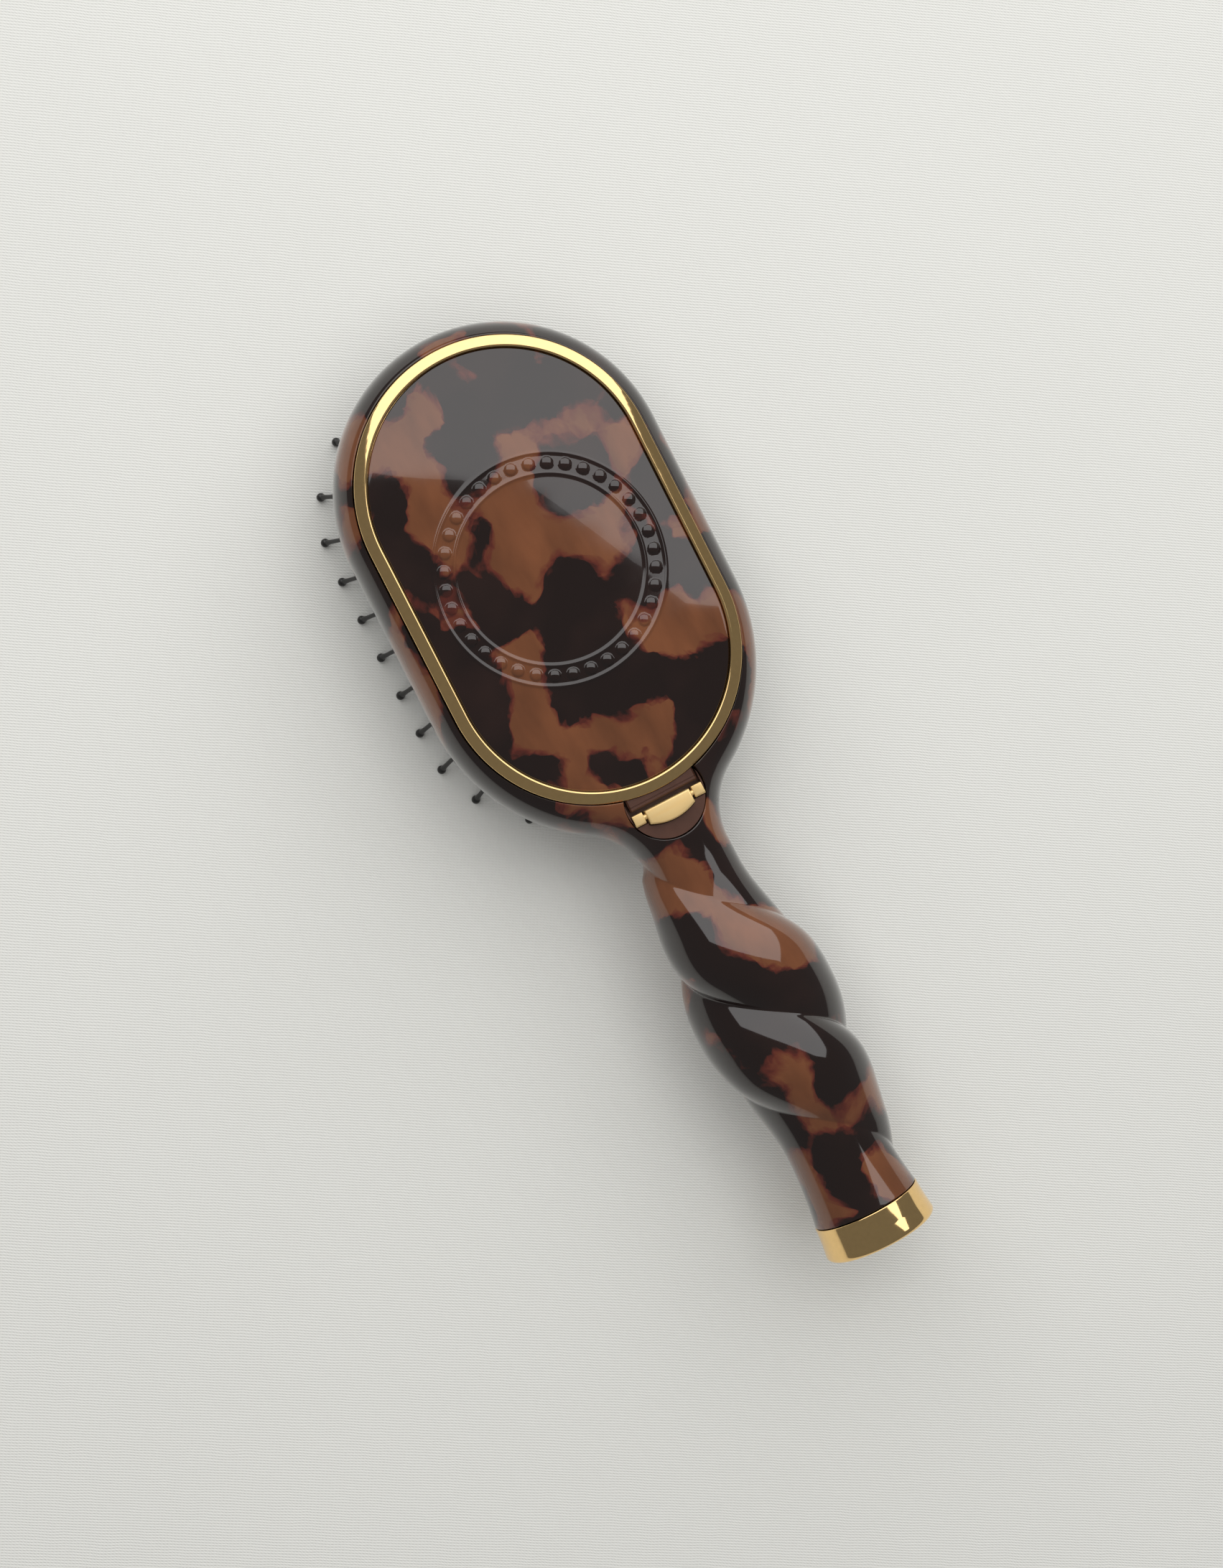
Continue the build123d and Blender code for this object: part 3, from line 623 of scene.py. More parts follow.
# --- shader helpers --------------------------------------------------------------------
class Value:
    """A socket that carries a number; arithmetic on it adds Math nodes."""

    def __init__(self, tree, socket):
        self.tree = tree
        self.socket = socket

    def math(self, operation, first, second=None, clamp=False):
        made = self.tree.nodes.new("ShaderNodeMath")
        made.operation = operation
        made.use_clamp = clamp
        for slot, value in enumerate((first, second)):
            if isinstance(value, Value):
                self.tree.links.new(value.socket, made.inputs[slot])
            elif value is not None:
                made.inputs[slot].default_value = value
        return Value(self.tree, made.outputs[0])

    def __add__(self, other):
        return self.math("ADD", self, other)

    def __radd__(self, other):
        return self.math("ADD", other, self)

    def __sub__(self, other):
        return self.math("SUBTRACT", self, other)

    def __rsub__(self, other):
        return self.math("SUBTRACT", other, self)

    def __mul__(self, other):
        return self.math("MULTIPLY", self, other)

    def __rmul__(self, other):
        return self.math("MULTIPLY", other, self)

    def sine(self):
        return self.math("SINE", self)

    def step(self, low, high):
        """0 below low and 1 above high, in a straight ramp between them."""
        return self.math("MULTIPLY", self - low, 1 / (high - low), clamp=True)


class Finish:
    """A material under construction, with its main shader and its object coordinates."""

    def __init__(self, name, **constants):
        self.material = bpy.data.materials.new(name)
        self.material.use_nodes = True
        self.tree = self.material.node_tree
        self.shader = self.tree.nodes["Principled BSDF"]
        for socket, value in constants.items():
            self.shader.inputs[socket.replace("_", " ")].default_value = value
        self.place = self.node("ShaderNodeTexCoord").outputs["Object"]

    def node(self, kind, settings=None, **sockets):
        """A node of a kind: its settings first, then its sockets' values or links."""
        made = self.tree.nodes.new(kind)
        for name, value in (settings or {}).items():
            setattr(made, name, value)
        for name, value in sockets.items():
            self.feed(made.inputs[name.replace("_", " ")], value)
        return made

    def feed(self, socket, value):
        """Sets a socket to a value, or links it."""
        if isinstance(value, Value):
            value = value.socket
        if isinstance(value, bpy.types.NodeSocket):
            self.tree.links.new(value, socket)
        else:
            socket.default_value = value

    def value(self, socket):
        return Value(self.tree, socket)

    def noise(self, scale, detail=2.0, place=None):
        """Noise of a size given as features per metre."""
        place = self.place if place is None else place
        made = self.node("ShaderNodeTexNoise", Vector=place, Scale=scale, Detail=detail)
        return self.value(made.outputs["Fac"])

    def shifted(self, offset, turn=(0, 0, 0), scale=(1, 1, 1), place=None):
        """Coordinates moved, turned and scaled."""
        place = self.place if place is None else place
        made = self.node(
            "ShaderNodeMapping", Vector=place, Location=offset, Rotation=turn, Scale=scale
        )
        return made.outputs[0]

    def jagged(self, scale, place):
        """Coordinates held nearly still inside each cell of a smoothed cell pattern, so what
        reads them has torn-looking edges."""
        cells = self.node(
            "ShaderNodeTexVoronoi", {"feature": "SMOOTH_F1"}, Vector=place, Scale=scale, Smoothness=0.3,
        )
        return cells.outputs["Position"]

    def between(self, factor, low, high):
        """Colour that goes from one to another."""
        made = self.node("ShaderNodeMix", {"data_type": "RGBA"}, Factor=factor)
        self.feed(made.inputs[MIX_LOW], low if isinstance(low, bpy.types.NodeSocket) else (*low, 1))
        self.feed(made.inputs[MIX_HIGH], high if isinstance(high, bpy.types.NodeSocket) else (*high, 1))
        return made.outputs[MIX_COLOUR]

    def bump(self, height, distance, strength=1.0):
        """Bump of a height field into the shader's normal."""
        made = self.node("ShaderNodeBump", Height=height, Distance=distance, Strength=strength)
        self.feed(self.shader.inputs["Normal"], made.outputs["Normal"])

    def surface(self, **sockets):
        """Feeds sockets of the main shader."""
        for name, value in sockets.items():
            self.feed(self.shader.inputs[name.replace("_", " ")], value)
        return self


# --- finishes ----------------------------------------------------------------------------
def tortoise(tints):
    """Polished acetate: torn amber patches with red fringes on a near-black brown ground."""
    finish = Finish("tortoise", Coat_Weight=0.6, Coat_Roughness=0.015, Coat_IOR=1.5, IOR=1.5)
    patch_scale, torn_scale = 78.0, 260.0
    pull_reach = 0.011  # metres by which the patches are drawn out
    warp = finish.node("ShaderNodeTexNoise", Vector=finish.place, Scale=70.0, Detail=1.0)
    pull = finish.node(
        "ShaderNodeVectorMath", {"operation": "MULTIPLY_ADD"},
    )
    finish.feed(pull.inputs[0], warp.outputs["Color"])
    finish.feed(pull.inputs[1], (pull_reach, pull_reach, pull_reach))
    finish.feed(pull.inputs[2], finish.place)
    coarse = finish.jagged(340.0, pull.outputs[0])
    fine = finish.jagged(900.0, pull.outputs[0])
    offset, stretch = (0.31, 0.12, 0.47), (1.0, 0.82, 1.0)
    wide, narrow, whole = (
        finish.shifted(offset, scale=stretch, place=place)
        for place in (coarse, fine, pull.outputs[0])
    )
    body = (
        finish.noise(patch_scale, 0.0, wide) * 0.4 + finish.noise(patch_scale, 0.0, narrow) * 0.25
        + finish.noise(patch_scale, 0.0, whole) * 0.35
    )
    torn = finish.noise(torn_scale, 2.0, whole) - 0.5
    field = body + torn * 0.16
    patch = field.step(0.445, 0.665)
    amber = tints.tortoise_amber
    deep = tuple(channel * 0.62 for channel in amber)
    streaks = finish.noise(160.0, 3.0, finish.shifted((0, 0, 0), scale=(1.0, 0.35, 1.0)))
    patches = finish.between(streaks.step(0.3, 0.7), deep, tuple(amber))
    ground = finish.between(
        finish.noise(60.0, 2.0).step(0.45, 0.75), tuple(tints.tortoise_dark),
        tuple(channel * 1.9 for channel in tints.tortoise_dark),
    )
    fringe = finish.between(patch.step(0.31, 0.50), ground, tuple(tints.tortoise_red))
    finish.surface(
        Base_Color=finish.between(patch.step(0.47, 0.68), fringe, patches),
        Roughness=finish.noise(220.0, 3.0) * 0.05 + 0.045,
    )
    finish.bump(finish.noise(85.0, 1.0), 0.00012, 0.6)
    return finish.material


def plated_gold(tints):
    """Mirror-bright gold plating with a faint roll and fine wear."""
    finish = Finish("gold_plated", Metallic=1.0)
    wear = finish.noise(900.0, 3.0).step(0.35, 0.8)
    gold = tuple(tints.gold)
    finish.surface(
        Base_Color=finish.between(wear, gold, tuple(channel * 0.93 for channel in gold)),
        Roughness=finish.noise(300.0, 2.0) * 0.07 + 0.035,
    )
    finish.bump(finish.noise(240.0, 1.0), 0.00006, 0.5)
    return finish.material


def satin_gold(tints):
    """Hinge metal with a soft brushed face."""
    finish = Finish("gold_satin", Metallic=0.55, Coat_Weight=0.2, Coat_Roughness=0.2)
    brushed = finish.noise(900.0, 2.0, finish.shifted((0, 0, 0), scale=(0.12, 1.0, 1.0)))
    gold = tuple(tints.gold)
    gold = (gold[0] * 0.93, gold[1] * 0.94, gold[2] * 0.9)
    pale = (gold[0] * 0.98, gold[1] * 1.03, gold[2] * 1.12)
    finish.surface(
        Base_Color=finish.between(brushed.step(0.3, 0.7), gold, pale),
        Roughness=brushed * 0.12 + 0.3,
    )
    finish.bump(brushed, 0.00002, 0.5)
    return finish.material


def moulded(name, tint, roughness, grain=1400.0, depth=0.00002, lift=1.35):
    """Moulded plastic or rubber: fine grain and slight mottling."""
    finish = Finish(name, IOR=1.48)
    mottle = finish.noise(grain * 0.12, 3.0)
    finish.surface(
        Base_Color=finish.between(mottle.step(0.3, 0.7), tuple(tint), tuple(c * lift for c in tint)),
        Roughness=finish.noise(grain * 0.4, 2.0) * 0.14 + (roughness - 0.07),
    )
    finish.bump(finish.noise(grain, 2.0), depth, 0.6)
    return finish.material


def bare_metal(name, tint, roughness):
    """Turned steel: fine circling marks and slight tarnish."""
    finish = Finish(name, Metallic=1.0)
    marks = finish.noise(1800.0, 2.0)
    finish.surface(
        Base_Color=finish.between(marks, tuple(tint), tuple(channel * 0.8 for channel in tint)),
        Roughness=marks * 0.1 + roughness,
    )
    finish.bump(marks, 0.00001, 0.5)
    return finish.material


def mirror_finish(tints):
    """Silvered glass, almost clean."""
    finish = Finish("mirror_silver", Metallic=1.0)
    smudge = finish.noise(120.0, 3.0).step(0.45, 0.8)
    silver = tuple(tints.silver)
    finish.surface(
        Base_Color=finish.between(smudge, silver, tuple(channel * 0.96 for channel in silver)),
        Roughness=smudge * 0.02 + 0.008,
    )
    return finish.material


def woven_cloth(tints):
    """Plain weave: warp and weft as crossing sine ribs, with slubs."""
    finish = Finish("cloth_weave", Roughness=0.9, Specular_IOR_Level=0.2)
    turned_place = finish.shifted((0, 0, 0), turn=(0, 0, math.radians(31.0)))
    slub = finish.noise(140.0, 3.0)
    parts = finish.node("ShaderNodeSeparateXYZ", Vector=turned_place)
    thread = 0.00062  # metres from one thread to the next
    pitch = FULL / thread
    warp = (finish.value(parts.outputs["X"]) * pitch * 0.8 + slub * 5.0).sine()
    weft = (finish.value(parts.outputs["Y"]) * pitch + slub * 7.0).sine()
    weave = weft * 0.6 + warp * weft * 0.4
    cloth = tuple(tints.cloth)
    cast = finish.noise(9.0, 3.0)
    finish.surface(
        Base_Color=finish.between(
            weave * 0.22 + cast * 0.6 + 0.2, tuple(channel * 0.93 for channel in cloth), cloth
        ),
    )
    finish.bump(weave, 0.00007, 0.6)
    return finish.material


# --- operators ----------------------------------------------------------------------------
finishes = {}


class HAIRBRUSH_OT_finishes(bpy.types.Operator):
    """Makes every material of the hairbrush"""

    bl_idname = "hairbrush.finishes"
    bl_label = "Finishes"

    def execute(self, context):
        tints = context.scene.hairbrush_finishes
        finishes["tortoise"] = tortoise(tints)
        finishes["plated"] = plated_gold(tints)
        finishes["satin"] = satin_gold(tints)
        finishes["brown"] = moulded("plastic_brown", tints.brown, 0.36)
        finishes["black"] = moulded("plastic_black", tints.black, 0.42)
        finishes["nylon"] = moulded("nylon_black", tints.nylon, 0.3, grain=2400.0, depth=0.00001)
        finishes["rubber"] = moulded("rubber_black", tints.rubber, 0.55, grain=1900.0, depth=0.00004)
        finishes["steel"] = bare_metal("steel_turned", tints.steel, 0.22)
        finishes["mirror"] = mirror_finish(tints)
        finishes["tape"] = moulded("tape_paper", tints.tape, 0.8)
        finishes["cloth"] = woven_cloth(tints)
        return {"FINISHED"}


class HAIRBRUSH_OT_body(bpy.types.Operator):
    """Moulds the tortoise head, neck and twisted handle in one skin"""

    bl_idname = "hairbrush.body"
    bl_label = "Body"

    def execute(self, context):
        scene = context.scene
        net = body_net(scene.hairbrush_body, scene.hairbrush_handle)
        skin = net.piece("tortoise_body", finishes["tortoise"], "body", "tortoise", sharp=60)
        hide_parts("body_shell")
        return {"FINISHED"}


class HAIRBRUSH_OT_end_cap(bpy.types.Operator):
    """Turns the flared gold cap about the handle's axis"""

    bl_idname = "hairbrush.end_cap"
    bl_label = "End cap"

    def execute(self, context):
        outer = cap_high[0]
        mouth = context.scene.hairbrush_handle.flare_radius + 0.1 * MM
        wall = 1.6 * MM
        waist_sag = 0.12 * MM
        butt_round, waist_round, mouth_round, inner_round = 1.2 * MM, 6.0 * MM, 0.25 * MM, 0.1 * MM
        butt = cap_low[1]
        start = cap_high[1]
        waist = (start + butt) / 2
        outline = rounded(
            [
                (0.0, butt), (outer, butt), ((mouth + outer) / 2 - waist_sag, waist),
                (mouth, start), (mouth - wall, start), (mouth - wall, butt + wall), (0.0, butt + wall),
            ],
            [0.0, butt_round, waist_round, mouth_round, inner_round, inner_round, 0.0],
            steps=8,
        )
        net = Net()
        net.add(closed_ends(turned(outline, 160)))
        cap = net.piece("gold_end_cap", finishes["plated"], "body", "gold_plated_plastic", sharp=35)
        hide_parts("end_cap")
        return {"FINISHED"}


class HAIRBRUSH_OT_rim(bpy.types.Operator):
    """Carries the rim's section round the lid's stadium"""

    bl_idname = "hairbrush.rim"
    bl_label = "Lid rim"

    def execute(self, context):
        lid = context.scene.hairbrush_lid
        inner = RIM_RADIUS - lid.rim_band
        bottom, top = rim_low[2], rim_high[2]
        shelf = panel_low[2]
        foot = np.array([RIM_RADIUS, bottom + lid.rim_wall])
        lip = np.array([inner + lid.rim_lip, top])
        share = np.linspace(0, 1, 7)[1:-1, None]
        normal = np.array([lip[1] - foot[1], foot[0] - lip[0]])
        normal = normal / np.linalg.norm(normal)
        face = foot + (lip - foot) * share + normal * 4 * lid.rim_bulge * share * (1 - share)
        corners = [
            (RIM_RADIUS, bottom), foot, *face, lip, (inner, top), (inner, shelf),
            (inner - lid.rim_ledge, shelf), (inner - lid.rim_ledge, bottom),
        ]
        outer_edge, inner_edge, lip_edge = 0.26 * MM, 0.42 * MM, 0.1 * MM
        tight, slight = 0.08 * MM, 0.02 * MM
        radii = [tight, outer_edge, *[slight] * len(share), lip_edge, inner_edge]
        radii += [tight] * 3
        section = rounded(corners, radii, steps=6)
        grid = stadium_sweep(np.concatenate([section, section[:1]]))
        net = Net()
        net.add(grid)
        rim = net.piece("gold_lid_rim", finishes["plated"], "lid", "gold_plated_plastic", sharp=35)
        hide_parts("lid_rim")
        return {"FINISHED"}


def panel_height(lid, x, y):
    """Dome plus relief above the panel's edge.

    The dome is rise * (1 - (stadium radius / edge radius) squared), crowned lengthwise by
    1 + k (1 - (y / half length) squared).  The relief is two fine rings, h exp(-(distance
    / width) squared), and a ring of pearls, each the cap of a ball.
    """
    along = y - HEAD_Y
    stadium = np.hypot(x, np.maximum(np.abs(along) - HALF_STRAIGHT, 0)) / PANEL_RADIUS
    crown = 1 + lid.lengthwise * (1 - (along / (PANEL_RADIUS + HALF_STRAIGHT)) ** 2)
    dome = lid.panel_rise * np.maximum(1 - stadium**2, 0) * crown / (1 + lid.lengthwise)
    radius = np.hypot(x, along)
    angle = np.arctan2(along, x)
    relief = 0
    for side in (-1, 1):
        away = (radius - lid.pearl_ring - side * lid.wire_gap) / lid.wire_width
        relief = relief + lid.wire_height * np.exp(-(away**2))
    sector = FULL / lid.pearls
    off = (np.mod(angle, sector) - sector / 2) * lid.pearl_ring
    reach = np.hypot(off, radius - lid.pearl_ring) / lid.pearl_radius
    pearl = lid.pearl_height * np.sqrt(np.maximum(1 - reach**2, 0))
    return dome + np.maximum(relief, pearl)


class HAIRBRUSH_OT_panel(bpy.types.Operator):
    """Shapes the domed lid panel and its raised ring of pearls"""

    bl_idname = "hairbrush.panel"
    bl_label = "Lid panel"

    def execute(self, context):
        lid = context.scene.hairbrush_lid
        columns = lid.pearls * 20
        core_rows, ring_rows, outer_rows = 14, 40, 26
        wire_reach = 3 * lid.wire_width
        angle = np.linspace(0, FULL, columns, endpoint=False)
        soft = 0.25 * MM
        ring = lid.pearl_ring + lid.wire_gap + wire_reach
        core = lid.pearl_ring - lid.wire_gap - wire_reach
        edge = stadium_reach(angle, PANEL_RADIUS - soft)
        radii = [
            np.linspace(0, core, core_rows)[:, None], np.linspace(core, ring, ring_rows)[1:, None]
        ]
        grid = np.concatenate(radii) * np.ones(columns)
        outward = np.linspace(0, 1, outer_rows)[1:, None]
        grid = np.concatenate([grid, ring + (edge - ring) * outward])
        x = grid * np.cos(angle)
        y = HEAD_Y + grid * np.sin(angle)
        top = panel_low[2] + lid.panel_edge
        upper = np.stack([x, y, top + panel_height(lid, x, y)], axis=-1)
        rows = [upper]
        turns = np.linspace(0, QUARTER, 4)[1:]
        closing = [
            (PANEL_RADIUS - soft * (1 - math.sin(a)), top - soft * (1 - math.cos(a))) for a in turns
        ]
        closing.append((PANEL_RADIUS, panel_low[2]))
        for radius, z in closing:
            reach = stadium_reach(angle, radius)
            ring_row = [reach * np.cos(angle), HEAD_Y + reach * np.sin(angle), np.full(columns, z)]
            rows.append(np.stack(ring_row, axis=-1)[None])
        middle = np.broadcast_to(np.array([0, HEAD_Y, panel_low[2]]), (1, columns, 3))
        net = Net()
        net.add(np.concatenate([*rows, middle]))
        panel = net.piece("tortoise_lid_panel", finishes["tortoise"], "lid", "tortoise", sharp=60)
        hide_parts("lid_panel")
        return {"FINISHED"}


class HAIRBRUSH_OT_hinge(bpy.types.Operator):
    """Makes the D-shaped hinge block, its two ears and the band behind them"""

    bl_idname = "hairbrush.hinge"
    bl_label = "Hinge"

    def execute(self, context):
        size = context.scene.hairbrush_hinge
        self.block(size)
        self.ears(size)
        self.band(size)
        return {"FINISHED"}

    def block(self, size):
        """Rows of a D outline: full size up to the bevel, then drawn in over its top."""
        half = block_high[0]
        front = block_high[1]
        bottom, top = block_low[2], block_high[2]
        turns = np.linspace(0, QUARTER, 6)
        levels = [(0.0, bottom)]
        levels += [
            (size.bevel * (1 - math.cos(a)), top - size.bevel * (1 - math.sin(a))) for a in turns
        ]
        rows = []
        for inset, z in levels:
            ends = front - size.end_depth + inset
            bow = size.middle_depth - size.end_depth
            reach = half - inset
            x = np.linspace(reach, -reach, 33)
            curve = np.column_stack([x, ends - bow * (1 - (x / reach) ** 2)])
            sides = [(-reach, front - inset), (reach, front - inset)]
            rows.append(level(np.concatenate([curve, sides]), z))
        net = Net()
        net.add(closed_ends(np.stack(rows)))
        block = net.piece("gold_hinge_block", finishes["satin"], "body", "gold_metal", sharp=50)
        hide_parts("hinge_block")

    def ears(self, size):
        """Each ear is a round eye about the pin with a straight arm back to the leaf."""
        pin_y = (pin_low[1] + pin_high[1]) / 2
        pin_z = (pin_low[2] + pin_high[2]) / 2
        outer = leaf_high[0]
        arm_back = leaf_low[1] + 2.6 * MM
        over, corner, front_corner = 0.2 * MM, 0.2 * MM, 0.5 * MM
        radius = size.ear_radius
        front = pin_y - radius
        outline = rounded(
            [
                (front, pin_z - radius), (front, pin_z + size.ear_rise + over),
                (arm_back, pin_z + size.ear_rise + over), (arm_back, pin_z - radius - over),
                (arm_back - radius, pin_z - radius),
            ],
            [radius * 0.9, front_corner, corner, corner, corner],
            steps=5,
        )
        middle = outline.mean(0)
        net = Net()
        soft = size.ear_soft
        for side in (-1, 1):
            near = outer - size.ear_width
            rows = []
            turns = np.linspace(0, QUARTER, 4)
            drop = [(soft * (1 - math.sin(a)), soft * (1 - math.cos(a))) for a in turns]
            places = [(near + back, inset) for back, inset in drop[::-1]]
            places += [(outer - back, inset) for back, inset in drop]
            for x, inset in places:
                toward = middle - outline
                drawn = outline + toward / np.linalg.norm(toward, axis=-1, keepdims=True) * inset
                rows.append(np.column_stack([np.full(len(drawn), side * x), drawn]))
            net.add(closed_ends(np.stack(rows)))
        ears = net.piece("gold_hinge_ears", finishes["satin"], "lid", "gold_metal", sharp=50)
        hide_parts("hinge_leaf")

    def band(self, size):
        """Brown band along the rim's foot; its back follows the rim's outer curve."""
        half = size.band_width / 2
        front = leaf_high[1] - 5.5 * MM
        end, count = 0.02 * MM, 25
        bottom = rim_low[2] - size.leaf_plate
        top = rim_low[2] + size.band_rise
        bevel = size.band_bevel
        flat_x = np.linspace(-half + bevel, half - bevel, count)
        x = np.concatenate([[-half, -half + end], flat_x, [half - end, half]])
        drop = np.concatenate([[bevel, bevel], np.zeros(count), [bevel, bevel]])
        back = LOWER_Y - np.sqrt((RIM_RADIUS + 0.1 * MM) ** 2 - x**2)
        groove = front + 0.75 * MM
        slope, floor_end, groove_end = 0.05 * MM, 0.17 * MM, 0.22 * MM
        flat = np.ones(len(x))
        rows = [
            (front * flat, bottom * flat), (front * flat, top - bevel - drop),
            ((front + bevel) * flat, top - drop), (groove * flat, top - drop),
            ((groove + slope) * flat, top - size.groove_depth - drop),
            ((groove + floor_end) * flat, top - size.groove_depth - drop),
            ((groove + groove_end) * flat, top - drop), (back, top - drop),
            (back, rim_low[2] * flat), (leaf_high[1] * flat, rim_low[2] * flat),
            (leaf_high[1] * flat, bottom * flat), (front * flat, bottom * flat),
        ]
        grid = np.stack([np.column_stack([x, y, z]) for y, z in rows], axis=1)
        net = Net()
        net.add(closed_ends(grid), wrap=False)
        net.piece("brown_hinge_band", finishes["brown"], "lid", "brown_plastic", sharp=30)


def dome_height(size, radius):
    """Height of the cushion's outer face at a stadium radius: a parabola across it."""
    edge = cushion_high[2] - size.wall_height
    return edge - size.rise * (1 - (radius / CUSHION_RADIUS) ** 2)


def bristle_roots(size, row):
    """Plan places of one row's roots, even across the field's width at that row."""
    y = (row - (size.rows - 1) / 2) * size.row_pitch
    field = CUSHION_RADIUS - size.field_inset
    half = math.sqrt(field**2 - max(abs(y) - HALF_STRAIGHT, 0) ** 2)
    steps = round(half / size.pin_pitch)
    x = half * np.arange(-steps, steps + 1) / steps
    return np.column_stack([x, np.full(len(x), y)])


def bristle_lines(size, row):
    """Tips, roots and directions from tip to root of one row."""
    plan = bristle_roots(size, row)
    reach = np.hypot(plan[:, 0], np.maximum(np.abs(plan[:, 1]) - HALF_STRAIGHT, 0))
    root = np.column_stack([plan[:, 0], HEAD_Y + plan[:, 1], dome_height(size, reach)])
    tip_z = np.full(len(plan), size.ball)
    tip = np.column_stack([plan[:, 0] * size.splay_x, HEAD_Y + plan[:, 1] * size.splay_y, tip_z])
    run = root - tip
    distance = np.linalg.norm(run, axis=-1, keepdims=True)
    return tip, root, run / distance, distance


def around(direction, sides):
    """Unit circles square to each direction: rows of pins by points round them."""
    helper = np.array([0.0, 1.0, 0.0])
    first = np.cross(helper, direction)
    first = first / np.linalg.norm(first, axis=-1, keepdims=True)
    second = np.cross(direction, first)
    angle = np.linspace(0, FULL, sides, endpoint=False)[:, None]
    return first[:, None] * np.cos(angle) + second[:, None] * np.sin(angle)


class HAIRBRUSH_OT_bristles(bpy.types.Operator):
    """Makes each row of ball-tipped bristles"""

    bl_idname = "hairbrush.bristles"
    bl_label = "Bristles"

    def execute(self, context):
        size = context.scene.hairbrush_under
        for row in range(size.rows):
            net = Net()
            for pin in self.pins(size, row):
                net.add(closed_ends(pin))
            name = f"bristle_row_{row + 1:02d}"
            piece = net.piece(
                f"nylon_{name}", finishes["nylon"], "bristle_bed", "bristle_nylon", sharp=35
            )
            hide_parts(name)
        return {"FINISHED"}

    def pins(self, size, row):
        """A ball, a neck that eases into a tapered shaft, and a flat foot: radius as a
        function of the distance from the ball's middle."""
        tip, _, direction, distance = bristle_lines(size, row)
        rings = around(direction, PIN_SIDES)
        ball = size.ball
        ball_start, ball_end, ball_rows = math.radians(8), math.radians(140), 9
        turn = np.linspace(ball_start, ball_end, ball_rows)
        near = [-ball * math.cos(a) for a in turn]
        width = [ball * math.sin(a) for a in turn]
        near += [1.25 * ball, 1.9 * ball, 3.2 * ball]
        width += [0.6 * ball, size.shaft, size.shaft * 0.94]
        far = distance + size.skin / direction[:, 2:3] + size.foot_lift
        lift = size.foot_height
        places = [np.full_like(distance, place) for place in near]
        places += [distance * 0.6, distance, far, far, far + lift, far + lift]
        width += [size.shaft, size.root * 0.9, size.shaft, size.foot_radius, size.foot_radius]
        foot_centre = 0.2 * MM
        width.append(foot_centre)
        along = np.concatenate(places, axis=1)
        middle = tip[:, None] + direction[:, None] * along[..., None]
        return middle[:, :, None] + rings[:, None] * np.array(width)[None, :, None, None]


class HAIRBRUSH_OT_cushion(bpy.types.Operator):
    """Moulds the domed rubber cushion with a swelling round each bristle"""

    bl_idname = "hairbrush.cushion"
    bl_label = "Cushion"

    def execute(self, context):
        size = context.scene.hairbrush_under
        edge = cushion_high[2] - size.wall_height
        soft = 0.5 * MM
        outer_rows, inner_rows, arc_steps, side_steps = 30, 16, 60, 22
        blend_above, blend_below = 1.1 * MM, 1.9 * MM
        radius = np.linspace(0, CUSHION_RADIUS - soft, outer_rows)
        turns = np.linspace(0, QUARTER, 5)[1:]
        outer = [(r, dome_height(size, r)) for r in radius]
        start = outer[-1][1]
        outer += [
            (CUSHION_RADIUS - soft * (1 - math.sin(a)), start + soft * (1 - math.cos(a))) for a in turns
        ]
        top = cushion_high[2]
        outer += [(CUSHION_RADIUS, top), (CUSHION_RADIUS - size.wall, top)]
        within = np.linspace(CUSHION_RADIUS, size.wall, inner_rows)
        inner = [(r - size.wall, dome_height(size, r) + size.skin) for r in within]
        net = Net()
        net.add(stadium_sweep(np.array(outer + inner), arc_steps, side_steps))
        for row in range(size.rows):
            for collar in self.collars(size, row):
                net.add(closed_ends(collar))
        cushion = net.piece("rubber_cushion", finishes["rubber"], None, "rubber", sharp=60)
        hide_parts("cushion")
        start = (0, HEAD_Y, edge + blend_above)
        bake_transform(cushion)
        return {"FINISHED"}

    def collars(self, size, row):
        """Swellings square to the rubber: height h cos squared across the radius."""
        _, root, direction, _ = bristle_lines(size, row)
        rings = around(direction, COLLAR_SIDES)
        width = np.array([1.0, 0.82, 0.62, 0.48, 0.44]) * size.collar_radius
        rise = np.array([-0.6, 0.25, 0.75, 1.0, 0.6]) * size.collar_height
        middle = root[:, None] - direction[:, None] * rise[None, :, None]
        return middle[:, :, None] + rings[:, None] * width[None, :, None, None]


class HAIRBRUSH_OT_fittings(bpy.types.Operator):
    """Gives the tray, mirror, screws and other carried-over pieces their finishes"""

    bl_idname = "hairbrush.fittings"
    bl_label = "Fittings"

    def execute(self, context):
        for name, finish in (
            ("compartment_tray", "brown"), ("mirror_frame", "brown"), ("mirror_glass", "mirror"),
            ("mirror_tape", "tape"), ("latch_plate", "steel"), ("latch_magnet", "steel"),
            ("tray_screws", "steel"), ("hinge_leaf_screws", "steel"), ("hinge_block_screws", "steel"),
            ("hinge_pin", "satin"), ("end_plug", "black"), ("cushion_frame", "black"),
        ):
            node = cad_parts[name]
            node.data.materials.clear()
            node.data.materials.append(finishes[finish])
        return {"FINISHED"}


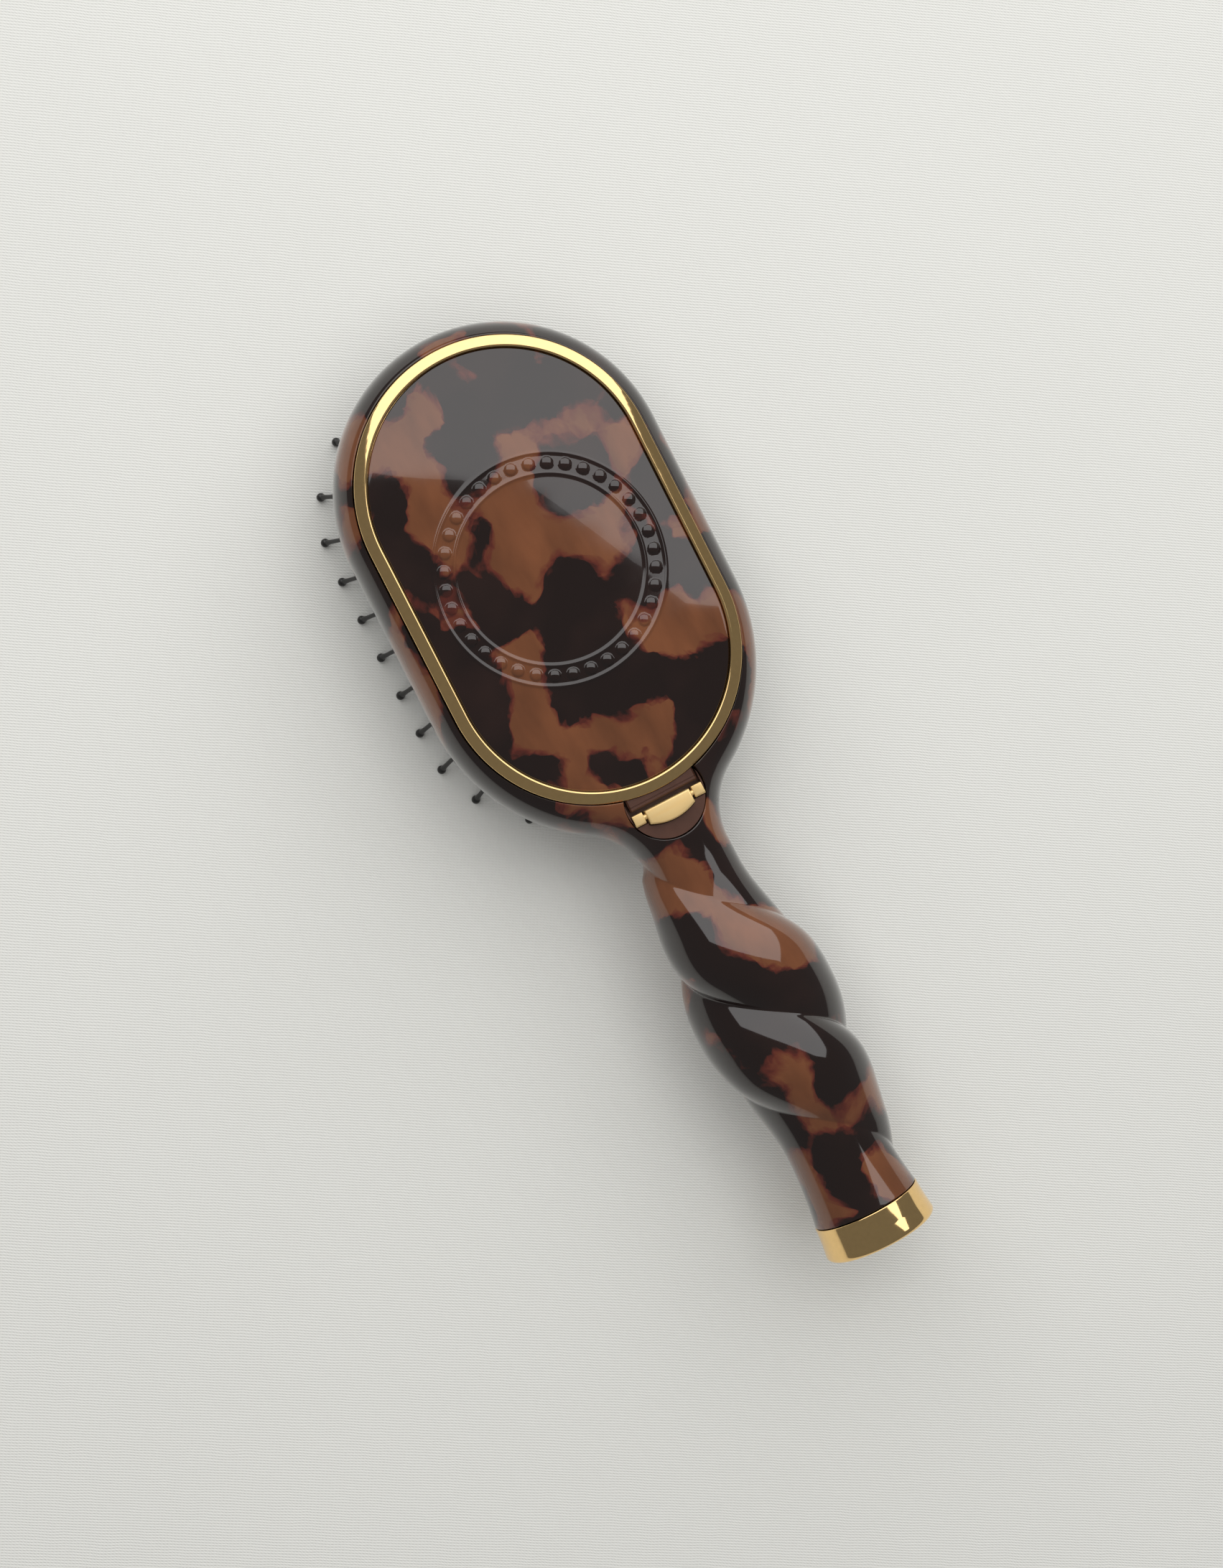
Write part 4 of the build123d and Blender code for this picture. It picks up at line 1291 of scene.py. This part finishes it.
class HAIRBRUSH_OT_stage(bpy.types.Operator):
    """Lays the cloth, hangs the lights and places the camera"""

    bl_idname = "hairbrush.stage"
    bl_label = "Stage"

    def execute(self, context):
        stage = context.scene.hairbrush_stage
        self.camera(context, stage)
        self.cloth()
        self.lights(context, stage)
        self.room(context, stage)
        context.scene.view_settings.view_transform = "Standard"
        return {"FINISHED"}

    def camera(self, context, stage):
        """Camera over the handle's side, rolled so that the brush lies aslant."""
        place = Vector((stage.camera_x, stage.camera_y, stage.camera_z))
        forward = (Vector((stage.aim_x, stage.aim_y, stage.aim_z)) - place).normalized()
        along = Vector((0, 1, 0))
        along = (along - forward * along.dot(forward)).normalized()
        right = forward.cross(along)
        up = along * math.cos(stage.roll) + right * math.sin(stage.roll)
        right = forward.cross(up)
        turn = Matrix((right, up, -forward)).transposed()
        data = bpy.data.cameras.new("camera")
        data.lens = stage.lens
        data.sensor_width = 36
        data.clip_start = 0.01
        camera = bpy.data.objects.new("camera", data)
        camera.matrix_world = Matrix.Translation(place) @ turn.to_4x4()
        context.scene.collection.objects.link(camera)
        context.scene.camera = camera
        self.view_up = Vector((up.x, up.y, 0)).normalized()

    def cloth(self):
        """Large flat cloth at the bristles' tips."""
        half = 3.0  # metres
        mesh = bpy.data.meshes.new("cloth")
        corners = [(-half, -half, 0), (half, -half, 0), (half, half, 0), (-half, half, 0)]
        mesh.from_pydata(corners, [], [(0, 1, 2, 3)])
        mesh.materials.append(finishes["cloth"])
        cloth = bpy.data.objects.new("cloth", mesh)
        bpy.context.scene.collection.objects.link(cloth)

    def lights(self, context, stage):
        """A large softbox leaning over the top of the view, and an unseen fill overhead."""
        low = self.view_up * 1.5 + Vector((0, 0, 0.3))
        high = self.view_up * 0.215 + Vector((0, 0, 1.2))
        self.lamp(context, "softbox", (low + high) / 2, low - high, 2.3, stage.softbox, True)
        overhead = Vector((0.001, 0.001, 1.6))
        self.lamp(context, "fill", overhead, Vector((1.6, 0, 0)), 1.6, stage.fill, False)

    def lamp(self, context, name, place, height, width, brightness, glossy):
        """Rectangular lamp facing the brush; its watts are brightness times pi times area."""
        data = bpy.data.lights.new(name, "AREA")
        data.shape = "RECTANGLE"
        data.size = width
        data.size_y = height.length
        data.energy = brightness * math.pi * width * height.length
        y = height.normalized()
        across = y.cross(place).normalized()
        z = across.cross(y)
        lamp = bpy.data.objects.new(name, data)
        lamp.matrix_world = Matrix.Translation(place) @ Matrix((across, y, z)).transposed().to_4x4()
        lamp.visible_camera = False
        lamp.visible_glossy = glossy
        context.scene.collection.objects.link(lamp)

    def room(self, context, stage):
        """Dim room that looks pale only straight to the eye."""
        world = bpy.data.worlds.new("room")
        world.use_nodes = True
        nodes, links = world.node_tree.nodes, world.node_tree.links
        back = nodes["Background"]
        path = nodes.new("ShaderNodeLightPath")
        shade = nodes.new("ShaderNodeMix")
        shade.data_type = "RGBA"
        shade.inputs[MIX_LOW].default_value = (stage.room, stage.room, stage.room, 1)
        shade.inputs[MIX_HIGH].default_value = (0.82, 0.82, 0.8, 1)
        links.new(path.outputs["Is Camera Ray"], shade.inputs["Factor"])
        links.new(shade.outputs[MIX_COLOUR], back.inputs["Color"])
        context.scene.world = world


class HAIRBRUSH_PT_panel(bpy.types.Panel):
    """Lists the hairbrush's operators and sizes"""

    bl_idname = "HAIRBRUSH_PT_panel"
    bl_label = "Hairbrush"
    bl_space_type = "VIEW_3D"
    bl_region_type = "UI"
    bl_category = "Hairbrush"

    def draw(self, context):
        for operator in OPERATORS:
            self.layout.operator(operator.bl_idname)
        for name, group in GROUPS.items():
            box = self.layout.box()
            box.label(text=name.replace("hairbrush_", "").capitalize())
            for key in group.__annotations__:
                box.prop(getattr(context.scene, name), key)


GROUPS = {
    "hairbrush_body": BodySizes,
    "hairbrush_handle": HandleSizes,
    "hairbrush_lid": LidSizes,
    "hairbrush_hinge": HingeSizes,
    "hairbrush_under": UnderSizes,
    "hairbrush_finishes": Finishes,
    "hairbrush_stage": StageSetup,
}
OPERATORS = (
    HAIRBRUSH_OT_finishes,
    HAIRBRUSH_OT_stage,
    HAIRBRUSH_OT_body,
    HAIRBRUSH_OT_end_cap,
    HAIRBRUSH_OT_rim,
    HAIRBRUSH_OT_panel,
    HAIRBRUSH_OT_hinge,
    HAIRBRUSH_OT_cushion,
    HAIRBRUSH_OT_bristles,
    HAIRBRUSH_OT_fittings,
)


def register():
    """Registers every class and hangs the settings on the scene."""
    for name, group in GROUPS.items():
        bpy.utils.register_class(group)
        setattr(bpy.types.Scene, name, PointerProperty(type=group))
    for operator in OPERATORS:
        bpy.utils.register_class(operator)
    bpy.utils.register_class(HAIRBRUSH_PT_panel)


def unregister():
    """Takes everything back out."""
    bpy.utils.unregister_class(HAIRBRUSH_PT_panel)
    for operator in reversed(OPERATORS):
        bpy.utils.unregister_class(operator)
    for name, group in GROUPS.items():
        delattr(bpy.types.Scene, name)
        bpy.utils.unregister_class(group)


def main():
    """Makes the whole brush."""
    register()
    for operator in OPERATORS:
        category, name = operator.bl_idname.split(".")
        getattr(getattr(bpy.ops, category), name)()
    bpy.context.view_layer.update()


if __name__ == "__main__":
    main()
